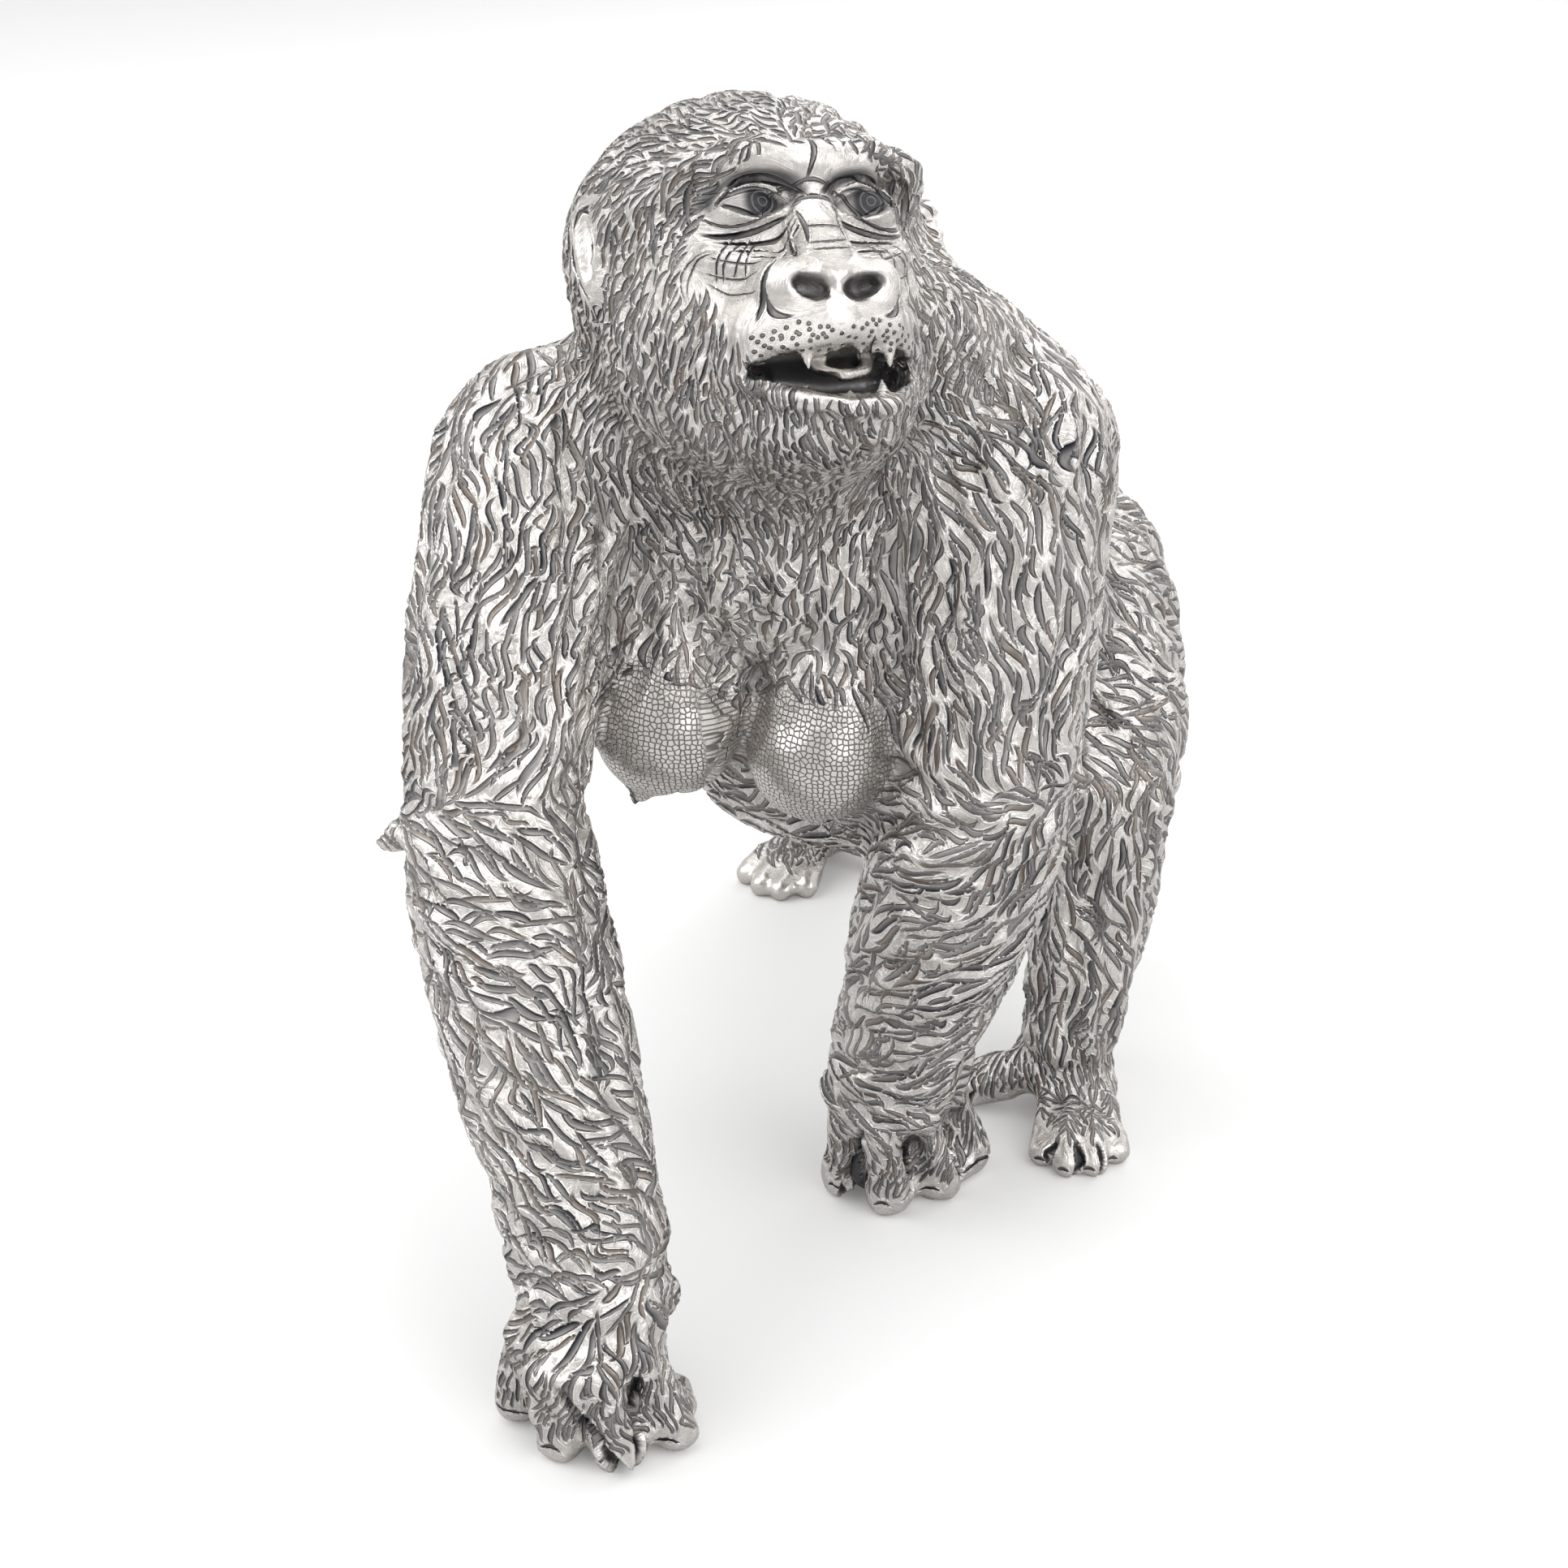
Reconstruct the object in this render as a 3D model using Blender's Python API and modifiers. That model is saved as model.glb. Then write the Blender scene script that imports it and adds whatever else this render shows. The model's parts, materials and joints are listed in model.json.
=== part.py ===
"""Cast silver figurine of a gorilla walking on her knuckles, in one solid casting.

Built in millimetres and scaled to metres at the end, +Z up. She walks towards -Y and
her left side is +X. Every form is an ellipsoid, or the hull of two ellipsoids, and a
voxel remesh welds them into one skin.
"""

import math

import bmesh
import bpy
import numpy as np
from mathutils import Matrix, Vector
from mathutils.kdtree import KDTree

MM = 0.001

# How finely the casting is welded, rounded and faceted.
BODY_VOXEL = 0.8
BODY_ROUNDING = 30
FINE_VOXEL = 0.5
FINE_ROUNDING = 4
FACETS = 11500
FINE_FACETS = 34000

# Trunk: the middle of the chest, the loins and the hips.
CHEST = Vector((-5.0, -4.0, 78.0))
BELLY = Vector((-3.0, 1.0, 59.6))
LOINS = Vector((-1.0, 22.0, 60.0))
HIPS = Vector((1.2, 42.0, 53.0))

# Right arm, reaching forward: shoulder, elbow, wrist and the row of knuckles.
R_SHOULDER = Vector((-26.8, -16.0, 83.0))
R_ELBOW = Vector((-23.2, -35.5, 55.0))
R_WRIST = Vector((-5.3, -50.6, 16.5))
# Left arm, swung back.
L_SHOULDER = Vector((15.6, -2.0, 85.4))
L_ELBOW = Vector((18.2, -10.2, 56.0))
L_WRIST = Vector((7.2, -6.2, 17.5))

ARM_R = 10.4
ELBOW_R = 9.3
FOREARM_R = 10.0
WRIST_R = 7.6

# Legs: hip, knee, ankle and heel.
L_HIP = Vector((9.8, 40.5, 52.0))
L_KNEE = Vector((19.5, 24.5, 40.0))
L_ANKLE = Vector((19.2, 20.0, 11.0))
R_HIP = Vector((-8.0, 44.0, 52.0))
R_KNEE = Vector((-24.0, 42.0, 36.0))
R_ANKLE = Vector((-33.0, 69.0, 11.0))
THIGH_R = 14.4
KNEE_R = 9.5
SHANK_R = 7.2
ANKLE_R = 6.2

FINGER_R = 2.6
KNUCKLE_HEIGHT = 11.0
TOE_R = 1.75
HEEL_R = 4.6
BIG_TOE_R = 2.5

# Head: its centre, and how far she turns it to her left and lifts it.
HEAD = Vector((-2.2, -15.3, 103.5))
HEAD_TURN = 42.0
HEAD_LIFT = 30.0
HEAD_ROLL = 4.0

# Face, in the head's own frame: +X her left, -Y forwards, +Z up.
EYE_SPACING = 5.1
EYE_HEIGHT = 3.7
EYE_DEPTH = -9.6
EYE_R = 2.3
BROW_R = 1.9
NOSTRIL_SPACING = 1.7
NOSTRIL_HEIGHT = -5.7
MOUTH_WIDTH = 8.2
LIP_R = 1.0
EAR_HEIGHT = 3.8
EAR_SPACING = 15.9

# Carved locks of fur: length, half width, depth and how far apart they start.
LOCK_LENGTH = 12.5
LOCK_HALF_WIDTH = 1.7
LOCK_DEPTH = 1.15
LOCK_SPACING = 4.0
LOCK_TRIES = 120000
HEAD_LOCK_SCALE = 0.62

# How much of the soles, knuckles and toes the floor cut takes off.
SOLE_CUT = 0.35

# Breasts: the middle of each and its size.
R_BREAST = Vector((-12.4, -17.5, 62.0))
L_BREAST = Vector((2.2, -12.8, 60.0))
BREAST_R = 8.0


class Clay:
    """A heap of overlapping closed forms that becomes one mesh."""

    def __init__(self, frame=None):
        self.mesh = bmesh.new()
        self.frame = frame or Matrix.Identity(4)

    def ball_in(self, mesh, centre, radii, turn=None):
        radii = (radii,) * 3 if isinstance(radii, (int, float)) else radii
        matrix = Matrix.Translation(Vector(centre)) @ (turn or Matrix.Identity(4))
        matrix = self.frame @ matrix @ Matrix.Diagonal((*radii, 1.0))
        bmesh.ops.create_icosphere(mesh, subdivisions=3, radius=1.0, matrix=matrix)

    def add(self, mesh):
        data = bpy.data.meshes.new("form")
        mesh.to_mesh(data)
        mesh.free()
        self.mesh.from_mesh(data)
        bpy.data.meshes.remove(data)

    def ball(self, centre, radii, turn=None):
        """An ellipsoid: centre, one radius or three, and an optional rotation."""
        form = bmesh.new()
        self.ball_in(form, centre, radii, turn)
        self.add(form)

    def link(self, first, second):
        """The hull of two ellipsoids, each given as (centre, radii) or (centre, radii, turn)."""
        form = bmesh.new()
        self.ball_in(form, *first)
        self.ball_in(form, *second)
        made = bmesh.ops.convex_hull(form, input=form.verts[:])
        loose = made["geom_interior"] + made["geom_unused"]
        spare = {item for item in loose if isinstance(item, bmesh.types.BMVert)}
        bmesh.ops.delete(form, geom=list(spare), context="VERTS")
        self.add(form)

    def chain(self, *joints):
        """Ellipsoids joined one to the next."""
        for first, second in zip(joints, joints[1:]):
            self.link(first, second)

    def absorb(self, source):
        """Takes in a finished object's mesh, and removes the object."""
        self.mesh.from_mesh(source.data)
        bpy.data.objects.remove(source)

    def done(self, name):
        data = bpy.data.meshes.new(name)
        self.mesh.to_mesh(data)
        self.mesh.free()
        made = bpy.data.objects.new(name, data)
        bpy.context.scene.collection.objects.link(made)
        return made


def along(first, second, share):
    return first.lerp(second, share)


def trunk(clay):
    clay.chain(
        (CHEST + Vector((0, 4, 3)), (21, 15, 14)),
        (CHEST + Vector((0, 11, -6)), (21, 16, 18)),
        (LOINS, (19.5, 16, 17.5)),
        (HIPS, (18, 15, 14)),
    )
    clay.ball(HIPS + Vector((-0.4, 8, 2)), (18.4, 15, 14.4))
    # spine, from the withers down to the rump
    clay.chain(
        (CHEST + Vector((1, 10, 6)), (13, 13, 12)),
        (LOINS + Vector((-1, 0, 10)), (12, 14, 12)),
        (HIPS + Vector((-3, 6, 9)), (10, 12, 9)),
    )
    clay.link((CHEST + Vector((-1.5, -6, -3)), (16, 11, 14)), (LOINS + Vector((-2, -8, 2)), (17, 11, 15)))
    clay.link((BELLY, (20.5, 18, 19.6)), (LOINS + Vector((-1, 4, -2)), (18, 14, 17.4)))
    # withers and neck, up into the back of the head
    clay.link((CHEST + Vector((1, 3, 12)), (19, 13, 11)), (HEAD + Vector((1, 7, -6)), (13.5, 12, 13)))
    clay.link((CHEST + Vector((-1, -8, 8)), (13, 9, 11)), (HEAD + Vector((0, 0, -12)), (11, 10, 9)))
    # the slope of the neck down to each shoulder
    clay.link((HEAD + Vector((-8.5, 5, -7)), 11.5), (R_SHOULDER + Vector((7, 5, 1.5)), 11.5))
    clay.link((HEAD + Vector((8, 8, -7)), 10.5), (L_SHOULDER + Vector((-3, 4, 1.5)), 11.5))


def arm(clay, shoulder, elbow, wrist, root, lean):
    clay.link((root, (13, 13, 12)), (shoulder, (ARM_R * 1.12, ARM_R * 1.2, ARM_R * 1.2)))
    clay.chain(
        (shoulder, (ARM_R * 1.12, ARM_R * 1.2, ARM_R * 1.2)),
        (along(shoulder, elbow, 0.45) + lean, ARM_R),
        (elbow, ELBOW_R),
        (along(elbow, wrist, 0.22) + lean * 0.4, FOREARM_R),
        (along(elbow, wrist, 0.5) + lean * 0.4, FOREARM_R * 0.96),
        (along(elbow, wrist, 0.78), WRIST_R * 1.1),
        (wrist, WRIST_R),
    )


def leg(clay, hip, knee, ankle, girth):
    shank = along(knee, ankle, 0.4) + Vector((0.5, 1.5, 0))
    clay.chain(
        (hip, (girth * 0.95, girth * 1.05, girth)),
        (along(hip, knee, 0.55), girth * 0.86),
        (knee, KNEE_R),
        (shank, SHANK_R * 1.08),
        (ankle, ANKLE_R),
    )


def limbs(clay):
    arm(clay, R_SHOULDER, R_ELBOW, R_WRIST, CHEST + Vector((-11, 2, 6)), Vector((-0.8, -1.0, 0)))
    arm(clay, L_SHOULDER, L_ELBOW, L_WRIST, CHEST + Vector((8, 5, 8)), Vector((0.6, -0.6, 0)))
    leg(clay, L_HIP, L_KNEE, L_ANKLE, THIGH_R)
    leg(clay, R_HIP, R_KNEE, R_ANKLE, THIGH_R)


def elbow_tufts(clay):
    for elbow, tips in (
        (R_ELBOW, [(-11.2, -2.6, -4.6), (-9.6, 0.4, -0.5)]),
        (L_ELBOW, [(9.6, 4.6, -1.2), (8.4, 3.6, -4.2)]),
    ):
        for tip in tips:
            tip = elbow + Vector(tip)
            clay.link((along(elbow, tip, 0.35), 4.6), (tip, 0.8))


def hand(clay, wrist, tips):
    """Fingers bent under: the knuckle row, down to the floor, then back under the palm."""
    palm = wrist + Vector((0, 0.5, -3))
    for x, y, reach in tips:
        knuckle = Vector((along(palm, Vector((x, y, 0)), 0.66).x, y + 0.8, KNUCKLE_HEIGHT))
        floor = Vector((x, y + FINGER_R * 0.9, FINGER_R * reach))
        under = Vector((palm.x * 0.35 + x * 0.65, palm.y + 2.5, FINGER_R))
        clay.link((palm, (WRIST_R * 0.84, WRIST_R * 0.8, 5.5)), (knuckle, FINGER_R * 1.1))
        clay.chain((knuckle, FINGER_R * 1.05), (floor, FINGER_R), (under, FINGER_R * 0.9))


def hands(clay):
    hand(clay, R_WRIST, [(-11.9, -57.0, 1.0), (-5.8, -60.4, 0.95), (0.2, -59.6, 0.95), (3.6, -54.4, 1.0)])
    hand(clay, L_WRIST, [(1.8, -9.3, 1.0), (8.0, -10.6, 0.95), (12.0, -5.7, 0.95), (13.1, 0.8, 1.0)])


def foot(clay, ankle, heel, tips, big_toe):
    clay.link((heel, HEEL_R), (ankle, (ANKLE_R, ANKLE_R, 4.5)))
    for x, y in tips:
        tip = Vector((x, y + TOE_R, TOE_R * 0.95))
        ball = along(tip, heel, 0.45) + Vector((0, 0, 1.6))
        clay.link((heel, (HEEL_R, HEEL_R, HEEL_R * 0.9)), (ball, (2.6, 3.0, 2.9)))
        clay.link((ankle, ANKLE_R * 0.75), (ball, (2.4, 2.8, 2.6)))
        clay.chain((ball, 2.1), (along(tip, ball, 0.45) + Vector((0, 0, 0.9)), TOE_R), (tip, TOE_R))
    tip = Vector(big_toe)
    root = along(tip, ankle, 0.5)
    root.z = 5.0
    clay.link((ankle + Vector((0, 0, -3)), ANKLE_R * 0.8), (root, BIG_TOE_R * 1.35))
    clay.link((root, BIG_TOE_R * 1.3), (tip, BIG_TOE_R))


def feet(clay):
    heel = Vector((L_ANKLE.x - 2.0, L_ANKLE.y + 8.0, HEEL_R * 0.95))
    foot(clay, L_ANKLE, heel, [(20.4, 6.0), (23.6, 5.0), (26.3, 6.4), (27.8, 9.8)], (7.5, 15.5, BIG_TOE_R))
    heel = Vector((R_ANKLE.x - 0.5, R_ANKLE.y + 9.0, HEEL_R * 0.95))
    foot(clay, R_ANKLE, heel, [(-39.2, 55.4), (-36.0, 53.0), (-33.0, 52.8), (-30.2, 55.0)], (-20.5, 69.0, BIG_TOE_R))


def breasts(clay):
    for middle, drop in ((R_BREAST, (-0.22, -0.55, -1.28)), (L_BREAST, (0.18, -0.4, -1.34))):
        top = middle + Vector((0, 0.55, 1.1)) * BREAST_R
        bottom = middle + Vector((0, -0.22, -0.3)) * BREAST_R
        clay.chain((top, BREAST_R * 1.05), (middle, BREAST_R), (bottom, BREAST_R * 0.93))
        tip = middle + Vector(drop) * BREAST_R
        clay.link((along(bottom, tip, 0.35), BREAST_R * 0.5), (tip, BREAST_R * 0.13))


def head_frame():
    turn = Matrix.Rotation(math.radians(HEAD_TURN), 4, "Z")
    lift = Matrix.Rotation(math.radians(-HEAD_LIFT), 4, "X")
    roll = Matrix.Rotation(math.radians(HEAD_ROLL), 4, "Y")
    return Matrix.Translation(HEAD) @ turn @ lift @ roll


def skull(clay):
    clay.ball((-1.0, 6.8, 5.0), (17.4, 18.6, 14.8))
    clay.ball((0, 5.4, 4.0), (17.2, 11, 11))
    clay.ball((0, 2.0, -4.0), (16.6, 13.5, 14))
    clay.ball((0, -3.0, -10.5), (12.0, 10.5, 9.3))
    clay.ball((0, -6.0, 3.0), (11.0, 6.2, 6.5))
    # muzzle and chin
    clay.ball((0, -9.6, -8.4), (9.8, 8.6, 6.8))
    clay.ball((0, -9.0, -15.0), (7.8, 6.2, 4.6))


def face(clay):
    for side in (-1, 1):
        clay.chain(
            ((side * 11.6, -6.4, 4.6), BROW_R * 0.6),
            ((side * 10.2, -8.8, 7.6), BROW_R * 0.95),
            ((side * 5.0, -12.2, 8.0), BROW_R),
            ((0, -12.9, 6.8), BROW_R * 1.15),
        )
        # cheekbone
        clay.link(((side * 8.2, -8.6, -0.4), 1.8), ((side * 4.4, -11.2, -2.0), 1.8))
        # nose wing
        clay.ball((side * 3.7, -15.0, -5.0), (2.9, 3.1, 2.9))
        clay.link(((side * 4.6, -13.2, -3.4), 1.8), ((side * 6.6, -12.0, -8.0), 1.2))
        # ear
        clay.ball((side * EAR_SPACING, 2.6, EAR_HEIGHT), (1.8, 3.1, 5.6))
    clay.chain(((0, -11.2, 5.0), 2.6), ((0, -12.4, 0.6), 2.6), ((0, -14.6, -3.0), 3.0))
    clay.ball((0, -16.0, -4.2), (2.8, 2.2, 2.2))
    # lips
    rim = MOUTH_WIDTH
    upper = [(-rim, -11.2, -10.7), (-4.4, -16.2, -10.1), (0.3, -18.0, -9.1), (4.8, -16.4, -8.9), (rim, -11.4, -9.9)]
    lower = [(-rim, -10.8, -11.5), (-5.0, -14.8, -14.2), (0, -16.2, -15.6), (5.0, -14.8, -15.2), (rim, -10.8, -11.9)]
    clay.chain(*[(p, LIP_R) for p in upper])
    clay.chain(*[(p, LIP_R) for p in lower])
    clay.ball((0.2, -13.2, -7.8), (7.4, 5.2, 3.0))


def face_hollows(clay):
    # the open mouth, wider on her left
    clay.chain(
        ((-6.2, -14.0, -11.5), (1.3, 4.2, 0.6)),
        ((-3.0, -15.0, -12.0), (2.0, 5.2, 1.5)),
        ((0.8, -15.4, -12.4), (2.4, 6.0, 2.2)),
        ((4.4, -14.6, -12.1), (2.0, 5.2, 2.2)),
        ((6.4, -13.6, -11.6), (1.2, 4.2, 1.2)),
    )
    for side in (-1, 1):
        clay.ball((side * EYE_SPACING, EYE_DEPTH - 4.0, EYE_HEIGHT), (3.6, 3.6, 2.3))
        clay.link(
            ((side * NOSTRIL_SPACING, -18.4, NOSTRIL_HEIGHT), (1.3, 2.4, 1.1)),
            ((side * (NOSTRIL_SPACING + 1.3), -17.6, NOSTRIL_HEIGHT + 0.4), (1.0, 2.0, 0.8)),
        )
        clay.link(
            ((side * (EAR_SPACING + 1.5), 1.8, EAR_HEIGHT + 2.2), (1.3, 1.4, 1.8)),
            ((side * (EAR_SPACING + 1.5), 1.8, EAR_HEIGHT - 1.8), (1.3, 1.0, 1.4)),
        )


def eyes_and_teeth(clay):
    for side in (-1, 1):
        clay.ball((side * EYE_SPACING, EYE_DEPTH, EYE_HEIGHT), EYE_R)
    # tongue, then the four eye teeth
    clay.chain(((0.4, -10.0, -14.2), (3.6, 2.0, 1.1)), ((0.7, -13.0, -14.2), (3.0, 1.6, 1.0)))
    for side, gum in ((-1, -10.2), (1, -9.6)):
        clay.link(((side * 4.0, -14.8, gum), 0.85), ((side * 3.9, -15.0, gum - 2.0), 0.35))
        clay.link(((side * 4.6, -12.9, -14.4), 0.85), ((side * 4.5, -13.2, -12.8), 0.35))


def remesh(body, voxel, rounding):
    weld = body.modifiers.new("weld", "REMESH")
    weld.mode = "VOXEL"
    weld.voxel_size = voxel
    round_off = body.modifiers.new("round", "SMOOTH")
    round_off.iterations = round(rounding)
    round_off.factor = 0.5


def settled(source, name):
    """The object's evaluated mesh as a new object, in place of the old one."""
    bpy.context.view_layer.update()
    graph = bpy.context.evaluated_depsgraph_get()
    data = bpy.data.meshes.new_from_object(source.evaluated_get(graph))
    bpy.data.objects.remove(source)
    made = bpy.data.objects.new(name, data)
    bpy.context.scene.collection.objects.link(made)
    return made


def fur_guides():
    """Points over the body, each with the way that the hair lies there."""
    head = head_frame()
    turn = head.to_3x3()
    down = Vector((0, 0, -1))
    guides = []

    def lie(point, way):
        guides.append((Vector(point), Vector(way).normalized()))

    # trunk: backwards over the back, down the chest, flanks and belly
    for share in (0.0, 0.35, 0.7, 1.0):
        mid = along(CHEST + Vector((0, 6, 0)), HIPS, share)
        lie(mid + Vector((0, 0, 17)), (0, 1, -0.25))
        lie(mid + Vector((19, 0, 2)), (0.2, 0.55, -0.9))
        lie(mid + Vector((-19, 0, 2)), (-0.2, 0.55, -0.9))
        lie(mid + Vector((0, -2, -16)), (0, 0.8, -0.3))
    lie(HIPS + Vector((0, 22, 0)), (0, 0.2, -1))
    for x in (-16, -6, 4):
        lie(CHEST + Vector((x, -12, 4)), (0, -0.15, -1))
        lie(CHEST + Vector((x, -14, -10)), (0, 0.0, -1))
    # neck and shoulders: down and outwards
    lie(HEAD + Vector((-13, 2, -12)), (-0.75, 0.2, -0.7))
    lie(HEAD + Vector((13, 8, -12)), (0.75, 0.3, -0.7))
    lie(HEAD + Vector((0, 16, -6)), (0, 0.8, -0.6))
    for shoulder, elbow, wrist, tuft in (
        (R_SHOULDER, R_ELBOW, R_WRIST, Vector((-1, 0.1, 0))),
        (L_SHOULDER, L_ELBOW, L_WRIST, Vector((0.9, 0.45, 0))),
    ):
        upper = elbow - shoulder
        fore = (elbow - wrist).normalized()
        for share in (0.0, 0.3, 0.6, 0.85):
            lie(along(shoulder, elbow, share), upper)
        for share in (0.15, 0.4, 0.65, 0.88):
            mid = along(elbow, wrist, share)
            lie(mid, fore * 0.55 + tuft)
            lie(mid + tuft * 8, fore * 0.9 + tuft * 0.6)
            lie(mid - tuft * 8, fore * 0.35 + tuft * 0.9)
        lie(wrist + Vector((0, -4, -4)), (0, -0.3, -1))
        lie(wrist + Vector((0, 4, -4)), (0, 0, -1))
    for hip, knee, ankle in ((L_HIP, L_KNEE, L_ANKLE), (R_HIP, R_KNEE, R_ANKLE)):
        for share in (0.3, 0.7):
            lie(along(hip, knee, share), (knee - hip).normalized() * 0.5 + Vector((0, 0.6, -0.6)))
        for share in (0.15, 0.5, 0.85):
            lie(along(knee, ankle, share), (ankle - knee).normalized() + Vector((0, 0.3, 0)))
    # head: back from the brow, down the cheeks and the chin
    for place, way in (
        ((0, -6, 17), (0, 1, 0.3)), ((-7, -4, 15), (-0.4, 1, 0.1)), ((7, -4, 15), (0.4, 1, 0.1)),
        ((0, 8, 19), (0, 1, -0.4)), ((0, 20, 8), (0, 0.3, -1)),
        ((-14, -2, 8), (-0.2, 0.9, -0.5)), ((14, -2, 8), (0.2, 0.9, -0.5)),
        ((-14, -4, -3), (-0.1, 0.25, -1)), ((14, -4, -3), (0.1, 0.25, -1)),
        ((-10, -9, -12), (-0.3, 0.2, -1)), ((10, -9, -12), (0.3, 0.2, -1)),
        ((0, -13, -18), (0, 0.5, -1)), ((0, -4, -20), (0, 1, -0.5)),
    ):
        lie(head @ Vector(place), turn @ Vector(way))
    return guides


def fur_flow(points, normals):
    """Unit vectors along the surface, the way the hair lies at each point."""
    guides = fur_guides()
    flow = np.zeros_like(points)
    for place, way in guides:
        apart = ((points - np.array(place)) ** 2).sum(axis=1)
        flow += np.exp(-apart / 98.0)[:, None] * np.array(way) + 1e-9 * np.array(way)
    flow -= (flow * normals).sum(axis=1)[:, None] * normals
    return flow / (np.linalg.norm(flow, axis=1)[:, None] + 1e-12)


def smoothstep(values, low, high):
    share = np.clip((values - low) / (high - low), 0, 1)
    return share * share * (3 - 2 * share)


def in_head(points):
    matrix = np.array(head_frame().inverted())
    return points @ matrix[:3, :3].T + matrix[:3, 3]


def fur_cover(points):
    """1 where there is fur, down to 0 on the face, breasts, finger ends and toes."""
    x, y, z = in_head(points).T
    wide = np.where(z > -4, 11.5, 9.5)
    face = (x / wide) ** 2 + ((z + 3.5) / 12.8) ** 2
    cover = np.where(y < -3, smoothstep(face, 0.85, 1.1), 1.0)
    ear = (np.abs(x) - EAR_SPACING - 0.6) ** 2 / 9 + (y - 2.6) ** 2 / 12 + (z - EAR_HEIGHT) ** 2 / 33
    cover *= smoothstep(ear, 0.8, 1.2)
    for middle in (R_BREAST, L_BREAST):
        apart = points - np.array(middle + Vector((0, -1.5, -2.0)))
        apart = np.sqrt((apart[:, 0] / 8) ** 2 + (apart[:, 1] / 9) ** 2 + (apart[:, 2] / 8.5) ** 2)
        cover *= smoothstep(apart, 0.95, 1.1)
    return cover * smoothstep(points[:, 2], 3.0, 6.0)


def carve(body):
    """Cuts wavy, tapering locks into the surface, each along the way the hair lies."""
    data = body.data
    count = len(data.vertices)
    points = np.empty(count * 3)
    data.vertices.foreach_get("co", points)
    points = points.reshape(-1, 3)
    normals = np.empty(count * 3)
    data.vertices.foreach_get("normal", normals)
    normals = normals.reshape(-1, 3)
    flow = fur_flow(points, normals)
    cover = fur_cover(points)
    head_size = np.linalg.norm(in_head(points), axis=1)
    size = HEAD_LOCK_SCALE + (1 - HEAD_LOCK_SCALE) * smoothstep(head_size, 20, 26)
    tree = KDTree(count)
    for index, point in enumerate(points):
        tree.insert(point, index)
    tree.balance()
    chance = np.random.default_rng(7)
    spots = chance.uniform((-48, -72, 2), (42, 94, 126), (LOCK_TRIES, 3))
    phases = chance.uniform(0, 6.28, LOCK_TRIES)
    free = cover > 0.3
    depth = np.zeros(count)
    for spot, phase in zip(spots, phases):
        _, start, apart = tree.find(spot)
        if apart > 1.5 or not free[start]:
            continue
        scale = size[start]
        reach = tree.find_range(points[start], LOCK_LENGTH * scale * 0.5)
        near = np.fromiter((found[1] for found in reach), int)
        near = near[normals[near] @ normals[start] > 0.2]
        way = flow[start]
        side = np.cross(normals[start], way)
        apart = points[near] - points[start]
        run = (apart @ way) / (LOCK_LENGTH * scale * 0.5)
        bend = 0.55 * scale * np.sin(run * 3.0 + phase)
        off = (apart @ side + bend) / (LOCK_HALF_WIDTH * scale)
        cut = np.clip(1 - off**2, 0, 1) * np.clip(1 - run**2, 0, 1)
        depth[near] = np.maximum(depth[near], cut * scale * cover[start])
        # the next locks start outside an oval round this one
        oval = (run / 0.75) ** 2 + (off * LOCK_HALF_WIDTH / LOCK_SPACING) ** 2
        free[near[oval < 1]] = False
    points -= normals * (depth * LOCK_DEPTH)[:, None]
    data.vertices.foreach_set("co", points.ravel())
    data.update()


def coarse_group(body):
    """Weighs the surface, so that the face, hands and feet keep smaller facets than the fur."""
    points = np.empty(len(body.data.vertices) * 3)
    body.data.vertices.foreach_get("co", points)
    points = points.reshape(-1, 3)
    cover = fur_cover(points)
    away = np.linalg.norm(in_head(points), axis=1)
    fine = (cover < 0.5) & (away < 24) | (points[:, 2] < 9)
    group = body.vertex_groups.new(name="coarse")
    group.add(np.flatnonzero(fine).tolist(), 0.0, "REPLACE")
    group.add(np.flatnonzero(~fine).tolist(), 1.0, "REPLACE")


def rest(body):
    """Cuts the knuckles, soles and toes flat on the floor."""
    slab = bmesh.new()
    matrix = Matrix.Translation((0, 0, SOLE_CUT - 20)) @ Matrix.Diagonal((400, 400, 40, 1))
    bmesh.ops.create_cube(slab, size=1.0, matrix=matrix)
    data = bpy.data.meshes.new("floor_cut")
    slab.to_mesh(data)
    slab.free()
    floor = bpy.data.objects.new("floor_cut", data)
    floor.hide_render = True
    floor.display_type = "WIRE"
    cutters = bpy.data.collections.new("cutters")
    bpy.context.scene.collection.children.link(cutters)
    cutters.objects.link(floor)
    cut = body.modifiers.new("rest", "BOOLEAN")
    cut.operation = "DIFFERENCE"
    cut.object = floor


def finish(body):
    """Puts the origin under the middle of the casting, and gives it its metal."""
    corners = [Vector(corner) for corner in body.bound_box]
    low = Vector([min(corner[axis] for corner in corners) for axis in range(3)])
    high = Vector([max(corner[axis] for corner in corners) for axis in range(3)])
    middle = (low + high) / 2
    shift = Matrix.Translation((-middle.x, -middle.y, -low.z))
    body.data.transform(Matrix.Diagonal((MM, MM, MM, 1)) @ shift)
    silver = bpy.data.materials.new("oxidised_silver")
    silver.use_nodes = True
    shader = silver.node_tree.nodes["Principled BSDF"]
    shader.inputs["Base Color"].default_value = (0.66, 0.64, 0.61, 1)
    shader.inputs["Metallic"].default_value = 1.0
    shader.inputs["Roughness"].default_value = 0.32
    body.data.materials.clear()
    body.data.materials.append(silver)
    body.data.shade_smooth()
    body.data.set_sharp_from_angle(angle=math.radians(38))
    figure = bpy.data.collections.new("gorilla_figurine")
    bpy.context.scene.collection.children.link(figure)
    bpy.context.scene.collection.objects.unlink(body)
    figure.objects.link(body)


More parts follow.
